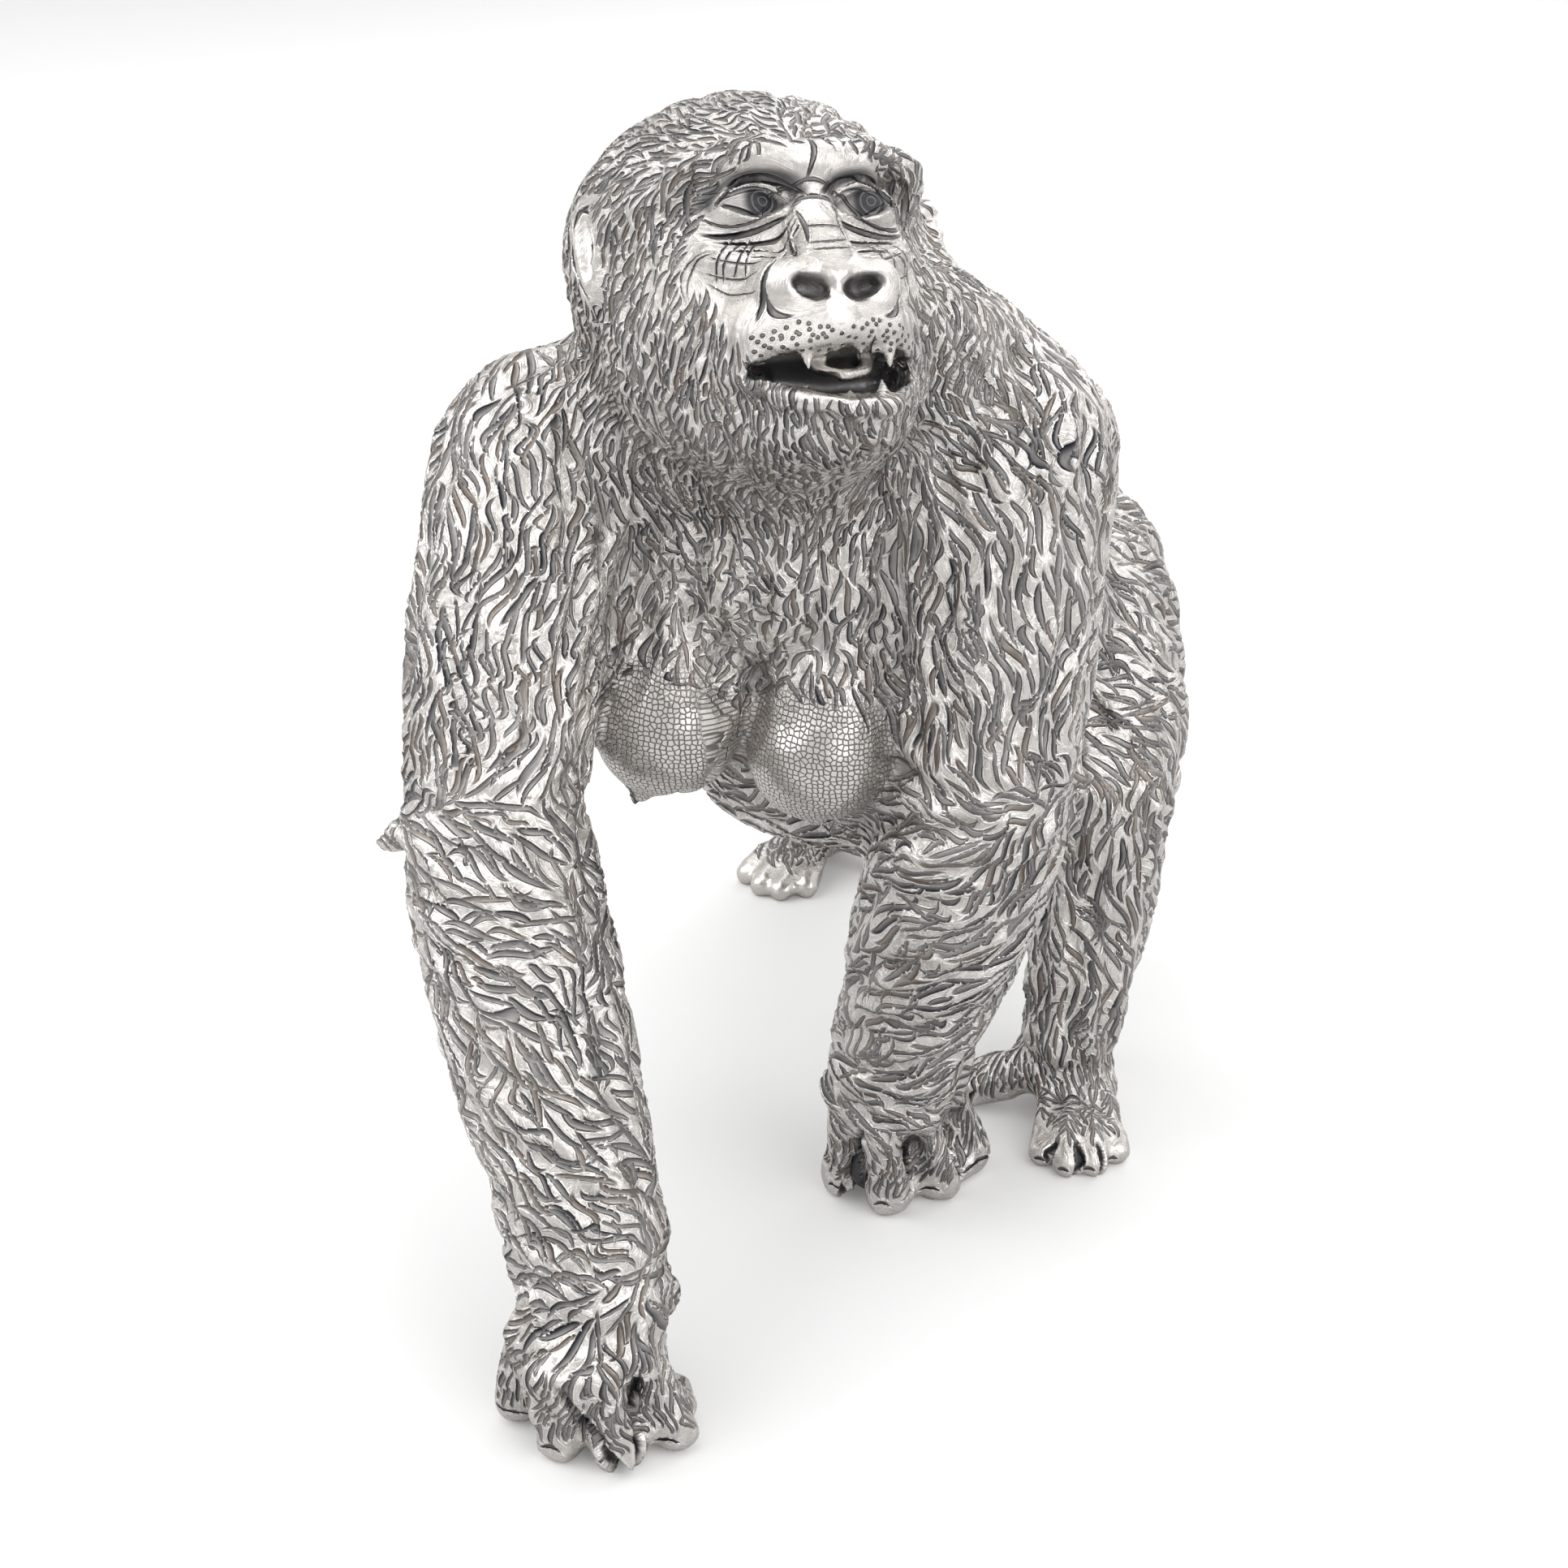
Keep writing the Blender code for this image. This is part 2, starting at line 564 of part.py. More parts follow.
def main():
    for old in list(bpy.data.objects):
        bpy.data.objects.remove(old)

    # Soft masses of the trunk, limbs and skull, welded and well rounded.
    clay = Clay()
    trunk(clay)
    limbs(clay)
    clay.frame = head_frame()
    skull(clay)
    masses = clay.done("masses")
    remesh(masses, BODY_VOXEL, BODY_ROUNDING)
    masses = settled(masses, "masses")

    # Hands, feet, breasts and face, kept crisper.
    clay = Clay()
    clay.absorb(masses)
    elbow_tufts(clay)
    hands(clay)
    feet(clay)
    breasts(clay)
    clay.frame = head_frame()
    face(clay)
    body = clay.done("body")
    remesh(body, FINE_VOXEL, FINE_ROUNDING)

    # Mouth, nostrils and ears are cut in, then the teeth stand inside the mouth.
    clay = Clay(head_frame())
    face_hollows(clay)
    hollows = clay.done("face_hollows")
    weld = hollows.modifiers.new("weld", "REMESH")
    weld.mode = "VOXEL"
    weld.voxel_size = FINE_VOXEL * 0.6
    hollows = settled(hollows, "face_hollows")
    cut = body.modifiers.new("hollows", "BOOLEAN")
    cut.operation = "DIFFERENCE"
    cut.object = hollows
    body = settled(body, "body")
    bpy.data.objects.remove(hollows)
    clay = Clay()
    clay.absorb(body)
    clay.frame = head_frame()
    eyes_and_teeth(clay)
    body = clay.done("gorilla")
    remesh(body, FINE_VOXEL, 2)
    body = settled(body, "gorilla")
    carve(body)

    # Facets, then the flat rests, then metres, with the origin under the middle.
    coarse_group(body)
    fine = body.modifiers.new("fine_facets", "DECIMATE")
    fine.ratio = FINE_FACETS / (2 * len(body.data.vertices))
    facets = body.modifiers.new("facets", "DECIMATE")
    facets.ratio = FACETS / FINE_FACETS
    facets.vertex_group = "coarse"
    body = settled(body, "gorilla")
    rest(body)
    body = settled(body, "gorilla")
    finish(body)


main()
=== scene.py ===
"""Looks of a cast silver gorilla: the forms of the solid, with the chasing of the metal on them."""

import json
import math

import bmesh
import bpy
import numpy as np
from mathutils import Matrix, Vector, noise
from mathutils.kdtree import KDTree

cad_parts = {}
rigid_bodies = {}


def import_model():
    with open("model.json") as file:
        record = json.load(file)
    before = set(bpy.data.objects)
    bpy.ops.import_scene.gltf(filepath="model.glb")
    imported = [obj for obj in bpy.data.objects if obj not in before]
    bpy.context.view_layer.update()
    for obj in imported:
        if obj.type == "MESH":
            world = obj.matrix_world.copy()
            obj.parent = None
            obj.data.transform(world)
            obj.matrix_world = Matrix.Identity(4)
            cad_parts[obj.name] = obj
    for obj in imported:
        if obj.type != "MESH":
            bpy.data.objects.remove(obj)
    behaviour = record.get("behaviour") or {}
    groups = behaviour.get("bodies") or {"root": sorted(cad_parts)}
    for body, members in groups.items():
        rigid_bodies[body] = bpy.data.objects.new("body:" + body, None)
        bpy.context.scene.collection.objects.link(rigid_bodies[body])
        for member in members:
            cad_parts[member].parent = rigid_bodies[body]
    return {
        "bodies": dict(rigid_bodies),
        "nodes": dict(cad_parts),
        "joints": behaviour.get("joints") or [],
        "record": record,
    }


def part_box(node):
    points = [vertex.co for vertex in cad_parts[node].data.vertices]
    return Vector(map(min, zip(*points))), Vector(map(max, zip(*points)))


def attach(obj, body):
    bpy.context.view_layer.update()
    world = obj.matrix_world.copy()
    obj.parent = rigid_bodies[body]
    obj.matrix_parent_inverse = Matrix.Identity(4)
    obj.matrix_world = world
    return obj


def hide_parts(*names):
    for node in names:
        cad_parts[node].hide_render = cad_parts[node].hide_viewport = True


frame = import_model()

MM = 0.001

# Fineness of the skin: how it is welded and rounded.
BODY_VOXEL = 0.8
BODY_ROUNDING = 30
FINE_VOXEL = 0.42
FINE_ROUNDING = 5
SOLE_CUT = 0.35

# Long locks under the fur.
LOCK_LENGTH = 12.5
LOCK_HALF_WIDTH = 1.7
LOCK_DEPTH = 1.0
LOCK_SPACING = 4.0
LOCK_TRIES = 120000

# Fur grooves on the body: half length, half width, depth, and the way from one to the next.
FUR_LENGTH = 2.9
FUR_WIDTH = 0.33
FUR_DEPTH = 0.26
FUR_SPACING = 0.92
PAD_HEIGHT = 2.3

# Opening of an eye: half its width, its height over the middle, and the lower lid's share of it.
LID_WIDTH = 3.1
LID_HEIGHT = 1.45
LOWER_LID = 0.85
LID_SLANT = 0.12

# How far from the middle of the head, and above the floor, the mesh is made finer.
FINE_HEAD = 25
FINE_HEAD_BACK = 16
FINE_FEET = 9

# Camera: its place, how far it looks down and round, and the length of its lens.
CAMERA_SPOT = Vector((88.2, -216.7, 156.2))
CAMERA_DOWN = 25
CAMERA_ROUND = 24
LENS_LENGTH = 55.9

# Studio: light from all round, the floor's tone in the metal and to the camera, and half its side.
SKY_LIGHT = 0.66
FLOOR_TONE = (0.6, 0.6, 0.6, 1)
FLOOR_SEEN = (0.9, 0.9, 0.9, 1)
FLOOR_GLOW = 0.1
FLOOR_HALF = 8.0

# Trunk: the middle of the chest, the loins and the hips.
CHEST = Vector((-5.0, -4.0, 78.0))
BELLY = Vector((-3.0, 1.0, 59.6))
LOINS = Vector((-1.0, 22.0, 60.0))
HIPS = Vector((1.2, 42.0, 53.0))

# Right arm, reaching forward: shoulder, elbow, wrist and the row of knuckles.
R_SHOULDER = Vector((-26.8, -16.0, 83.0))
R_ELBOW = Vector((-23.2, -35.5, 55.0))
R_WRIST = Vector((-5.3, -50.6, 16.5))
# Left arm, swung back.
L_SHOULDER = Vector((15.6, -2.0, 85.4))
L_ELBOW = Vector((18.2, -10.2, 56.0))
L_WRIST = Vector((7.2, -6.2, 17.5))

ARM_R = 10.4
ELBOW_R = 9.3
FOREARM_R = 10.0
WRIST_R = 7.6

# Legs: hip, knee, ankle and heel.
L_HIP = Vector((9.8, 40.5, 52.0))
L_KNEE = Vector((19.5, 24.5, 40.0))
L_ANKLE = Vector((19.2, 20.0, 11.0))
R_HIP = Vector((-8.0, 44.0, 52.0))
R_KNEE = Vector((-24.0, 42.0, 36.0))
R_ANKLE = Vector((-33.0, 69.0, 11.0))
THIGH_R = 14.4
KNEE_R = 9.5
SHANK_R = 7.2
ANKLE_R = 6.2

# Fingers and toes: where each tip stands, and how high a finger's lowest joint is in its radii.
R_FINGERS = [(-11.9, -57.0, 1.0), (-5.8, -60.4, 0.95), (0.2, -59.6, 0.95), (3.6, -54.4, 1.0)]
L_FINGERS = [(1.8, -9.3, 1.0), (8.0, -10.6, 0.95), (12.0, -5.7, 0.95), (13.1, 0.8, 1.0)]
L_TOES = [(20.4, 6.0), (23.6, 5.0), (26.3, 6.4), (27.8, 9.8)]
R_TOES = [(-39.2, 55.4), (-36.0, 53.0), (-33.0, 52.8), (-30.2, 55.0)]
FINGER_R = 2.6
KNUCKLE_HEIGHT = 11.0
TOE_R = 1.75
TOE_PAD = 1.7
HEEL_R = 4.6
BIG_TOE_R = 2.5

# Head: its centre, and how far she turns it to her left and lifts it.
HEAD = Vector((-2.2, -15.3, 103.5))
HEAD_TURN = 42.0
HEAD_LIFT = 30.0
HEAD_ROLL = 4.0

# Face, in the head's own frame: +X her left, -Y forwards, +Z up.
EYE_SPACING = 5.1
EYE_HEIGHT = 3.7
EYE_DEPTH = -9.6
BROW_R = 1.9
NOSTRIL_SPACING = 1.7
NOSTRIL_HEIGHT = -5.7
MOUTH_WIDTH = 8.2
LIP_R = 1.0
EAR_HEIGHT = 3.8
EAR_SPACING = 15.9

# Breasts: the middle of each and its size.
R_BREAST = Vector((-12.4, -17.5, 62.0))
L_BREAST = Vector((2.2, -12.8, 60.0))
BREAST_R = 8.0


class Clay:
    """A heap of overlapping closed forms that becomes one mesh."""

    def __init__(self, frame=None):
        self.mesh = bmesh.new()
        self.frame = frame or Matrix.Identity(4)

    def ball_in(self, mesh, centre, radii):
        radii = (radii,) * 3 if isinstance(radii, (int, float)) else radii
        matrix = self.frame @ Matrix.Translation(Vector(centre)) @ Matrix.Diagonal((*radii, 1.0))
        bmesh.ops.create_icosphere(mesh, subdivisions=3, radius=1.0, matrix=matrix)

    def add(self, mesh):
        data = bpy.data.meshes.new("form")
        mesh.to_mesh(data)
        mesh.free()
        self.mesh.from_mesh(data)
        bpy.data.meshes.remove(data)

    def ball(self, centre, radii):
        """An ellipsoid: its centre, and one radius or three."""
        form = bmesh.new()
        self.ball_in(form, centre, radii)
        self.add(form)

    def link(self, first, second):
        """The hull of two ellipsoids, each given as (centre, radii)."""
        form = bmesh.new()
        self.ball_in(form, *first)
        self.ball_in(form, *second)
        made = bmesh.ops.convex_hull(form, input=form.verts[:])
        loose = made["geom_interior"] + made["geom_unused"]
        spare = {item for item in loose if isinstance(item, bmesh.types.BMVert)}
        bmesh.ops.delete(form, geom=list(spare), context="VERTS")
        self.add(form)

    def chain(self, *joints):
        """Ellipsoids joined one to the next."""
        for first, second in zip(joints, joints[1:]):
            self.link(first, second)

    def absorb(self, source):
        """Takes in a finished object's mesh, and removes the object."""
        self.mesh.from_mesh(source.data)
        bpy.data.objects.remove(source)

    def done(self, name):
        data = bpy.data.meshes.new(name)
        self.mesh.to_mesh(data)
        self.mesh.free()
        made = bpy.data.objects.new(name, data)
        bpy.context.scene.collection.objects.link(made)
        return made


def along(first, second, share):
    return first.lerp(second, share)


def trunk(clay):
    clay.chain(
        (CHEST + Vector((0, 4, 3)), (21, 15, 14)),
        (CHEST + Vector((0, 11, -6)), (21, 16, 18)),
        (LOINS, (19.5, 16, 17.5)),
        (HIPS, (18, 15, 14)),
    )
    clay.ball(HIPS + Vector((-0.4, 8, 2)), (18.4, 15, 14.4))
    # spine, from the withers down to the rump
    clay.chain(
        (CHEST + Vector((1, 10, 6)), (13, 13, 12)),
        (LOINS + Vector((-1, 0, 10)), (12, 14, 12)),
        (HIPS + Vector((-3, 6, 9)), (10, 12, 9)),
    )
    clay.link((CHEST + Vector((-1.5, -6, -3)), (16, 11, 14)), (LOINS + Vector((-2, -8, 2)), (17, 11, 15)))
    clay.link((BELLY, (20.5, 18, 19.6)), (LOINS + Vector((-1, 4, -2)), (18, 14, 17.4)))
    # withers and neck, up into the back of the head
    clay.link((CHEST + Vector((1, 3, 12)), (19, 13, 11)), (HEAD + Vector((1, 7, -6)), (13.5, 12, 13)))
    clay.link((CHEST + Vector((-1, -8, 8)), (13, 9, 11)), (HEAD + Vector((0, 0, -12)), (11, 10, 9)))
    # the slope of the neck down to each shoulder
    clay.link((HEAD + Vector((-8.5, 5, -7)), 11.5), (R_SHOULDER + Vector((7, 5, 1.5)), 11.5))
    clay.link((HEAD + Vector((8, 8, -7)), 10.5), (L_SHOULDER + Vector((-3, 4, 1.5)), 11.5))


def arm(clay, shoulder, elbow, wrist, root, lean):
    clay.link((root, (13, 13, 12)), (shoulder, (ARM_R * 1.12, ARM_R * 1.2, ARM_R * 1.2)))
    clay.chain(
        (shoulder, (ARM_R * 1.12, ARM_R * 1.2, ARM_R * 1.2)),
        (along(shoulder, elbow, 0.45) + lean, ARM_R),
        (elbow, ELBOW_R),
        (along(elbow, wrist, 0.22) + lean * 0.4, FOREARM_R),
        (along(elbow, wrist, 0.5) + lean * 0.4, FOREARM_R * 0.96),
        (along(elbow, wrist, 0.78), WRIST_R * 1.1),
        (wrist, WRIST_R),
    )


def leg(clay, hip, knee, ankle, girth):
    shank = along(knee, ankle, 0.4) + Vector((0.5, 1.5, 0))
    clay.chain(
        (hip, (girth * 0.95, girth * 1.05, girth)),
        (along(hip, knee, 0.55), girth * 0.86),
        (knee, KNEE_R),
        (shank, SHANK_R * 1.08),
        (ankle, ANKLE_R),
    )


def limbs(clay):
    arm(clay, R_SHOULDER, R_ELBOW, R_WRIST, CHEST + Vector((-11, 2, 6)), Vector((-0.8, -1.0, 0)))
    arm(clay, L_SHOULDER, L_ELBOW, L_WRIST, CHEST + Vector((8, 5, 8)), Vector((0.6, -0.6, 0)))
    leg(clay, L_HIP, L_KNEE, L_ANKLE, THIGH_R)
    leg(clay, R_HIP, R_KNEE, R_ANKLE, THIGH_R)


def elbow_tufts(clay):
    for elbow, tips in (
        (R_ELBOW, [(-11.2, -2.6, -4.6), (-9.6, 0.4, -0.5)]),
        (L_ELBOW, [(9.6, 4.6, -1.2), (8.4, 3.6, -4.2)]),
    ):
        for tip in tips:
            tip = elbow + Vector(tip)
            clay.link((along(elbow, tip, 0.35), 4.6), (tip, 0.8))


def hand(clay, wrist, tips):
    """Fingers bent under: the knuckle row, down to the floor, then back under the palm."""
    palm = wrist + Vector((0, 0.5, -3))
    for x, y, reach in tips:
        knuckle = Vector((along(palm, Vector((x, y, 0)), 0.66).x, y + 0.8, KNUCKLE_HEIGHT))
        floor = Vector((x, y + FINGER_R * 0.9, FINGER_R * reach))
        under = Vector((palm.x * 0.35 + x * 0.65, palm.y + 2.5, FINGER_R))
        clay.link((palm, (WRIST_R * 0.84, WRIST_R * 0.8, 5.5)), (knuckle, FINGER_R * 1.1))
        clay.chain((knuckle, FINGER_R * 1.05), (floor, FINGER_R), (under, FINGER_R * 0.9))


def hands(clay):
    hand(clay, R_WRIST, R_FINGERS)
    hand(clay, L_WRIST, L_FINGERS)


def foot(clay, ankle, heel, tips, big_toe):
    clay.link((heel, HEEL_R), (ankle, (ANKLE_R, ANKLE_R, 4.5)))
    for x, y in tips:
        tip = Vector((x, y + TOE_R, TOE_R * 0.95))
        ball = along(tip, heel, 0.45) + Vector((0, 0, 1.6))
        clay.link((heel, (HEEL_R, HEEL_R, HEEL_R * 0.9)), (ball, (2.6, 3.0, 2.9)))
        clay.link((ankle, ANKLE_R * 0.75), (ball, (2.4, 2.8, 2.6)))
        clay.chain((ball, 2.1), (along(tip, ball, 0.45) + Vector((0, 0, 0.9)), TOE_R), (tip, TOE_R))
    tip = Vector(big_toe)
    root = along(tip, ankle, 0.5)
    root.z = 5.0
    clay.link((ankle + Vector((0, 0, -3)), ANKLE_R * 0.8), (root, BIG_TOE_R * 1.35))
    clay.link((root, BIG_TOE_R * 1.3), (tip, BIG_TOE_R))


def feet(clay):
    heel = Vector((L_ANKLE.x - 2.0, L_ANKLE.y + 8.0, HEEL_R * 0.95))
    foot(clay, L_ANKLE, heel, L_TOES, (7.5, 15.5, BIG_TOE_R))
    heel = Vector((R_ANKLE.x - 0.5, R_ANKLE.y + 9.0, HEEL_R * 0.95))
    foot(clay, R_ANKLE, heel, R_TOES, (-20.5, 69.0, BIG_TOE_R))


def breasts(clay):
    for middle, drop in ((R_BREAST, (-0.22, -0.55, -1.28)), (L_BREAST, (0.18, -0.4, -1.34))):
        top = middle + Vector((0, 0.55, 1.1)) * BREAST_R
        bottom = middle + Vector((0, -0.22, -0.3)) * BREAST_R
        clay.chain((top, BREAST_R * 1.05), (middle, BREAST_R), (bottom, BREAST_R * 0.93))
        tip = middle + Vector(drop) * BREAST_R
        clay.link((along(bottom, tip, 0.35), BREAST_R * 0.5), (tip, BREAST_R * 0.13))


def head_frame():
    turn = Matrix.Rotation(math.radians(HEAD_TURN), 4, "Z")
    lift = Matrix.Rotation(math.radians(-HEAD_LIFT), 4, "X")
    roll = Matrix.Rotation(math.radians(HEAD_ROLL), 4, "Y")
    return Matrix.Translation(HEAD) @ turn @ lift @ roll


def skull(clay):
    clay.ball((-1.0, 6.8, 5.0), (17.4, 18.6, 14.8))
    clay.ball((0, 5.4, 4.0), (17.2, 11, 11))
    clay.ball((0, 2.0, -4.0), (16.6, 13.5, 14))
    clay.ball((0, -3.0, -10.5), (12.0, 10.5, 9.3))
    clay.ball((0, -6.0, 3.0), (11.0, 6.2, 6.5))
    # muzzle and chin
    clay.ball((0, -9.6, -8.4), (9.8, 8.6, 6.8))
    clay.ball((0, -9.0, -15.0), (7.8, 6.2, 4.6))


def face(clay):
    for side in (-1, 1):
        clay.chain(
            ((side * 11.6, -6.4, 4.6), BROW_R * 0.6),
            ((side * 10.2, -8.8, 7.6), BROW_R * 0.95),
            ((side * 5.0, -12.2, 8.0), BROW_R),
            ((0, -12.9, 6.8), BROW_R * 1.15),
        )
        # cheekbone
        clay.link(((side * 8.2, -8.6, -0.4), 1.8), ((side * 4.4, -11.2, -2.0), 1.8))
        # nose wing
        clay.ball((side * 3.7, -15.0, -5.0), (2.9, 3.1, 2.9))
        clay.link(((side * 4.6, -13.2, -3.4), 1.8), ((side * 6.6, -12.0, -8.0), 1.2))
        # ear
        clay.ball((side * EAR_SPACING, 2.6, EAR_HEIGHT), (1.8, 3.1, 5.6))
    clay.chain(((0, -11.2, 5.0), 2.6), ((0, -12.4, 0.6), 2.6), ((0, -14.6, -3.0), 3.0))
    clay.ball((0, -16.0, -4.2), (2.8, 2.2, 2.2))
    # lips
    rim = MOUTH_WIDTH
    upper = [(-4.4, -16.2, -10.1), (0.3, -18.0, -9.1), (4.8, -16.4, -8.9)]
    lower = [(-5.0, -14.8, -14.2), (0, -16.2, -15.6), (5.0, -14.8, -15.2)]
    for lip in (
        [(-rim, -11.2, -10.7), *upper, (rim, -11.4, -9.9)],
        [(-rim, -10.8, -11.5), *lower, (rim, -10.8, -11.9)],
    ):
        clay.chain(*[(point, LIP_R) for point in lip])
    clay.ball((0.2, -13.2, -7.8), (7.4, 5.2, 3.0))


def face_hollows(clay):
    # the open mouth, wider on her left
    clay.chain(
        ((-6.2, -14.0, -11.5), (1.3, 4.2, 0.6)),
        ((-3.0, -15.0, -12.0), (2.0, 5.2, 1.5)),
        ((0.8, -15.4, -12.4), (2.4, 6.0, 2.2)),
        ((4.4, -14.6, -12.1), (2.0, 5.2, 2.2)),
        ((6.4, -13.6, -11.6), (1.2, 4.2, 1.2)),
    )
    for side in (-1, 1):
        clay.ball((side * EYE_SPACING, EYE_DEPTH - 4.0, EYE_HEIGHT), (3.6, 3.6, 2.3))
        clay.link(
            ((side * NOSTRIL_SPACING, -18.4, NOSTRIL_HEIGHT), (1.3, 2.4, 1.1)),
            ((side * (NOSTRIL_SPACING + 1.3), -17.6, NOSTRIL_HEIGHT + 0.4), (1.0, 2.0, 0.8)),
        )
        clay.link(
            ((side * (EAR_SPACING + 1.5), 1.8, EAR_HEIGHT + 2.2), (1.3, 1.4, 1.8)),
            ((side * (EAR_SPACING + 1.5), 1.8, EAR_HEIGHT - 1.8), (1.3, 1.0, 1.4)),
        )


def fur_guides():
    """Points over the body, each with the way that the hair lies there."""
    head = head_frame()
    turn = head.to_3x3()
    guides = []

    def lie(point, way):
        guides.append((Vector(point), Vector(way).normalized()))

    # trunk: backwards over the back, down the chest, flanks and belly
    for share in (0.0, 0.35, 0.7, 1.0):
        mid = along(CHEST + Vector((0, 6, 0)), HIPS, share)
        lie(mid + Vector((0, 0, 17)), (0, 1, -0.25))
        lie(mid + Vector((19, 0, 2)), (0.2, 0.55, -0.9))
        lie(mid + Vector((-19, 0, 2)), (-0.2, 0.55, -0.9))
        lie(mid + Vector((0, -2, -16)), (0, 0.8, -0.3))
    lie(HIPS + Vector((0, 22, 0)), (0, 0.2, -1))
    for x in (-16, -6, 4):
        lie(CHEST + Vector((x, -12, 4)), (0, -0.15, -1))
        lie(CHEST + Vector((x, -14, -10)), (0, 0.0, -1))
    # neck and shoulders: down and outwards
    lie(HEAD + Vector((-13, 2, -12)), (-0.75, 0.2, -0.7))
    lie(HEAD + Vector((13, 8, -12)), (0.75, 0.3, -0.7))
    lie(HEAD + Vector((0, 16, -6)), (0, 0.8, -0.6))
    for shoulder, elbow, wrist, tuft in (
        (R_SHOULDER, R_ELBOW, R_WRIST, Vector((-1, 0.1, 0))),
        (L_SHOULDER, L_ELBOW, L_WRIST, Vector((0.9, 0.45, 0))),
    ):
        upper = elbow - shoulder
        fore = (elbow - wrist).normalized()
        for share in (0.0, 0.3, 0.6, 0.85):
            lie(along(shoulder, elbow, share), upper)
        for share in (0.15, 0.4, 0.65, 0.88):
            mid = along(elbow, wrist, share)
            lie(mid, fore * 0.55 + tuft)
            lie(mid + tuft * 8, fore * 0.9 + tuft * 0.6)
            lie(mid - tuft * 8, fore * 0.35 + tuft * 0.9)
        lie(wrist + Vector((0, -4, -4)), (0, -0.3, -1))
        lie(wrist + Vector((0, 4, -4)), (0, 0, -1))
    for hip, knee, ankle in ((L_HIP, L_KNEE, L_ANKLE), (R_HIP, R_KNEE, R_ANKLE)):
        for share in (0.3, 0.7):
            lie(along(hip, knee, share), (knee - hip).normalized() * 0.5 + Vector((0, 0.6, -0.6)))
        for share in (0.15, 0.5, 0.85):
            lie(along(knee, ankle, share), (ankle - knee).normalized() + Vector((0, 0.3, 0)))
    # head: back from the brow, down the cheeks and the chin
    for place, way in (
        ((0, -6, 17), (0, 1, 0.3)), ((-7, -4, 15), (-0.4, 1, 0.1)), ((7, -4, 15), (0.4, 1, 0.1)),
        ((0, 8, 19), (0, 1, -0.4)), ((0, 20, 8), (0, 0.3, -1)),
        ((-14, -2, 8), (-0.2, 0.9, -0.5)), ((14, -2, 8), (0.2, 0.9, -0.5)),
        ((-14, -4, -3), (-0.1, 0.25, -1)), ((14, -4, -3), (0.1, 0.25, -1)),
        ((-10, -9, -12), (-0.3, 0.2, -1)), ((10, -9, -12), (0.3, 0.2, -1)),
        ((0, -13, -18), (0, 0.5, -1)), ((0, -4, -20), (0, 1, -0.5)),
    ):
        lie(head @ Vector(place), turn @ Vector(way))
    return guides


def fur_flow(points, normals):
    """Unit vectors along the surface, the way the hair lies at each point."""
    guides = fur_guides()
    flow = np.zeros_like(points)
    for place, way in guides:
        apart = ((points - np.array(place)) ** 2).sum(axis=1)
        flow += np.exp(-apart / 98.0)[:, None] * np.array(way) + 1e-9 * np.array(way)
    flow -= (flow * normals).sum(axis=1)[:, None] * normals
    return flow / (np.linalg.norm(flow, axis=1)[:, None] + 1e-12)


def smoothstep(values, low, high):
    share = np.clip((values - low) / (high - low), 0, 1)
    return share * share * (3 - 2 * share)


def in_head(points):
    matrix = np.array(head_frame().inverted())
    return points @ matrix[:3, :3].T + matrix[:3, 3]


def fur_cover(points):
    """1 where there is fur, down to 0 on the face, breasts, finger ends and toes."""
    x, y, z = in_head(points).T
    wide = np.where(z > -4, 11.5, 9.5)
    face = (x / wide) ** 2 + ((z + 3.5) / 12.8) ** 2
    cover = np.where(y < -3, smoothstep(face, 0.85, 1.1), 1.0)
    ear = (np.abs(x) - EAR_SPACING - 0.6) ** 2 / 9 + (y - 2.6) ** 2 / 12 + (z - EAR_HEIGHT) ** 2 / 33
    cover *= smoothstep(ear, 0.8, 1.2)
    for middle in (R_BREAST, L_BREAST):
        apart = points - np.array(middle + Vector((0, -1.5, -2.0)))
        apart = np.sqrt((apart[:, 0] / 8) ** 2 + (apart[:, 1] / 9) ** 2 + (apart[:, 2] / 8.5) ** 2)
        cover *= smoothstep(apart, 0.95, 1.1)
    return cover * smoothstep(points[:, 2], 3.0, 6.0)


def eyeballs(clay):
    for side in (-1, 1):
        clay.ball((side * EYE_SPACING, EYE_DEPTH, EYE_HEIGHT), (3.6, 2.75, 2.5))


def mouth_inside(clay):
    """Tongue curled up at its edge, and both rows of teeth."""
    clay.chain(
        ((-1.4, -12.4, -10.8), (0.7, 0.8, 0.55)),
        ((-0.4, -13.7, -11.9), (0.75, 0.8, 0.6)),
        ((1.2, -14.2, -12.3), (0.8, 0.8, 0.65)),
        ((2.8, -13.7, -11.9), (0.75, 0.8, 0.6)),
        ((3.7, -12.4, -10.8), (0.7, 0.8, 0.55)),
    )
    for upper, lower in ((-2.7, -2.5), (4.6, 4.2)):
        clay.link(((upper, -15.9, -10.3), (0.8, 0.7, 0.6)), ((upper, -16.0, -12.2), 0.26))
        clay.link(((lower, -14.4, -14.4), (0.75, 0.7, 0.6)), ((lower, -14.6, -12.9), 0.26))
    for step in range(-2, 3):
        if step:
            clay.ball((step * 1.1 + 0.9, -16.5 + 0.2 * step * step, -10.4), (0.5, 0.4, 0.75))
    for step in range(-3, 4):
        clay.ball((step * 0.95 + 1.0, -15.2 + 0.1 * step * step, -14.3), (0.42, 0.4, 0.6))


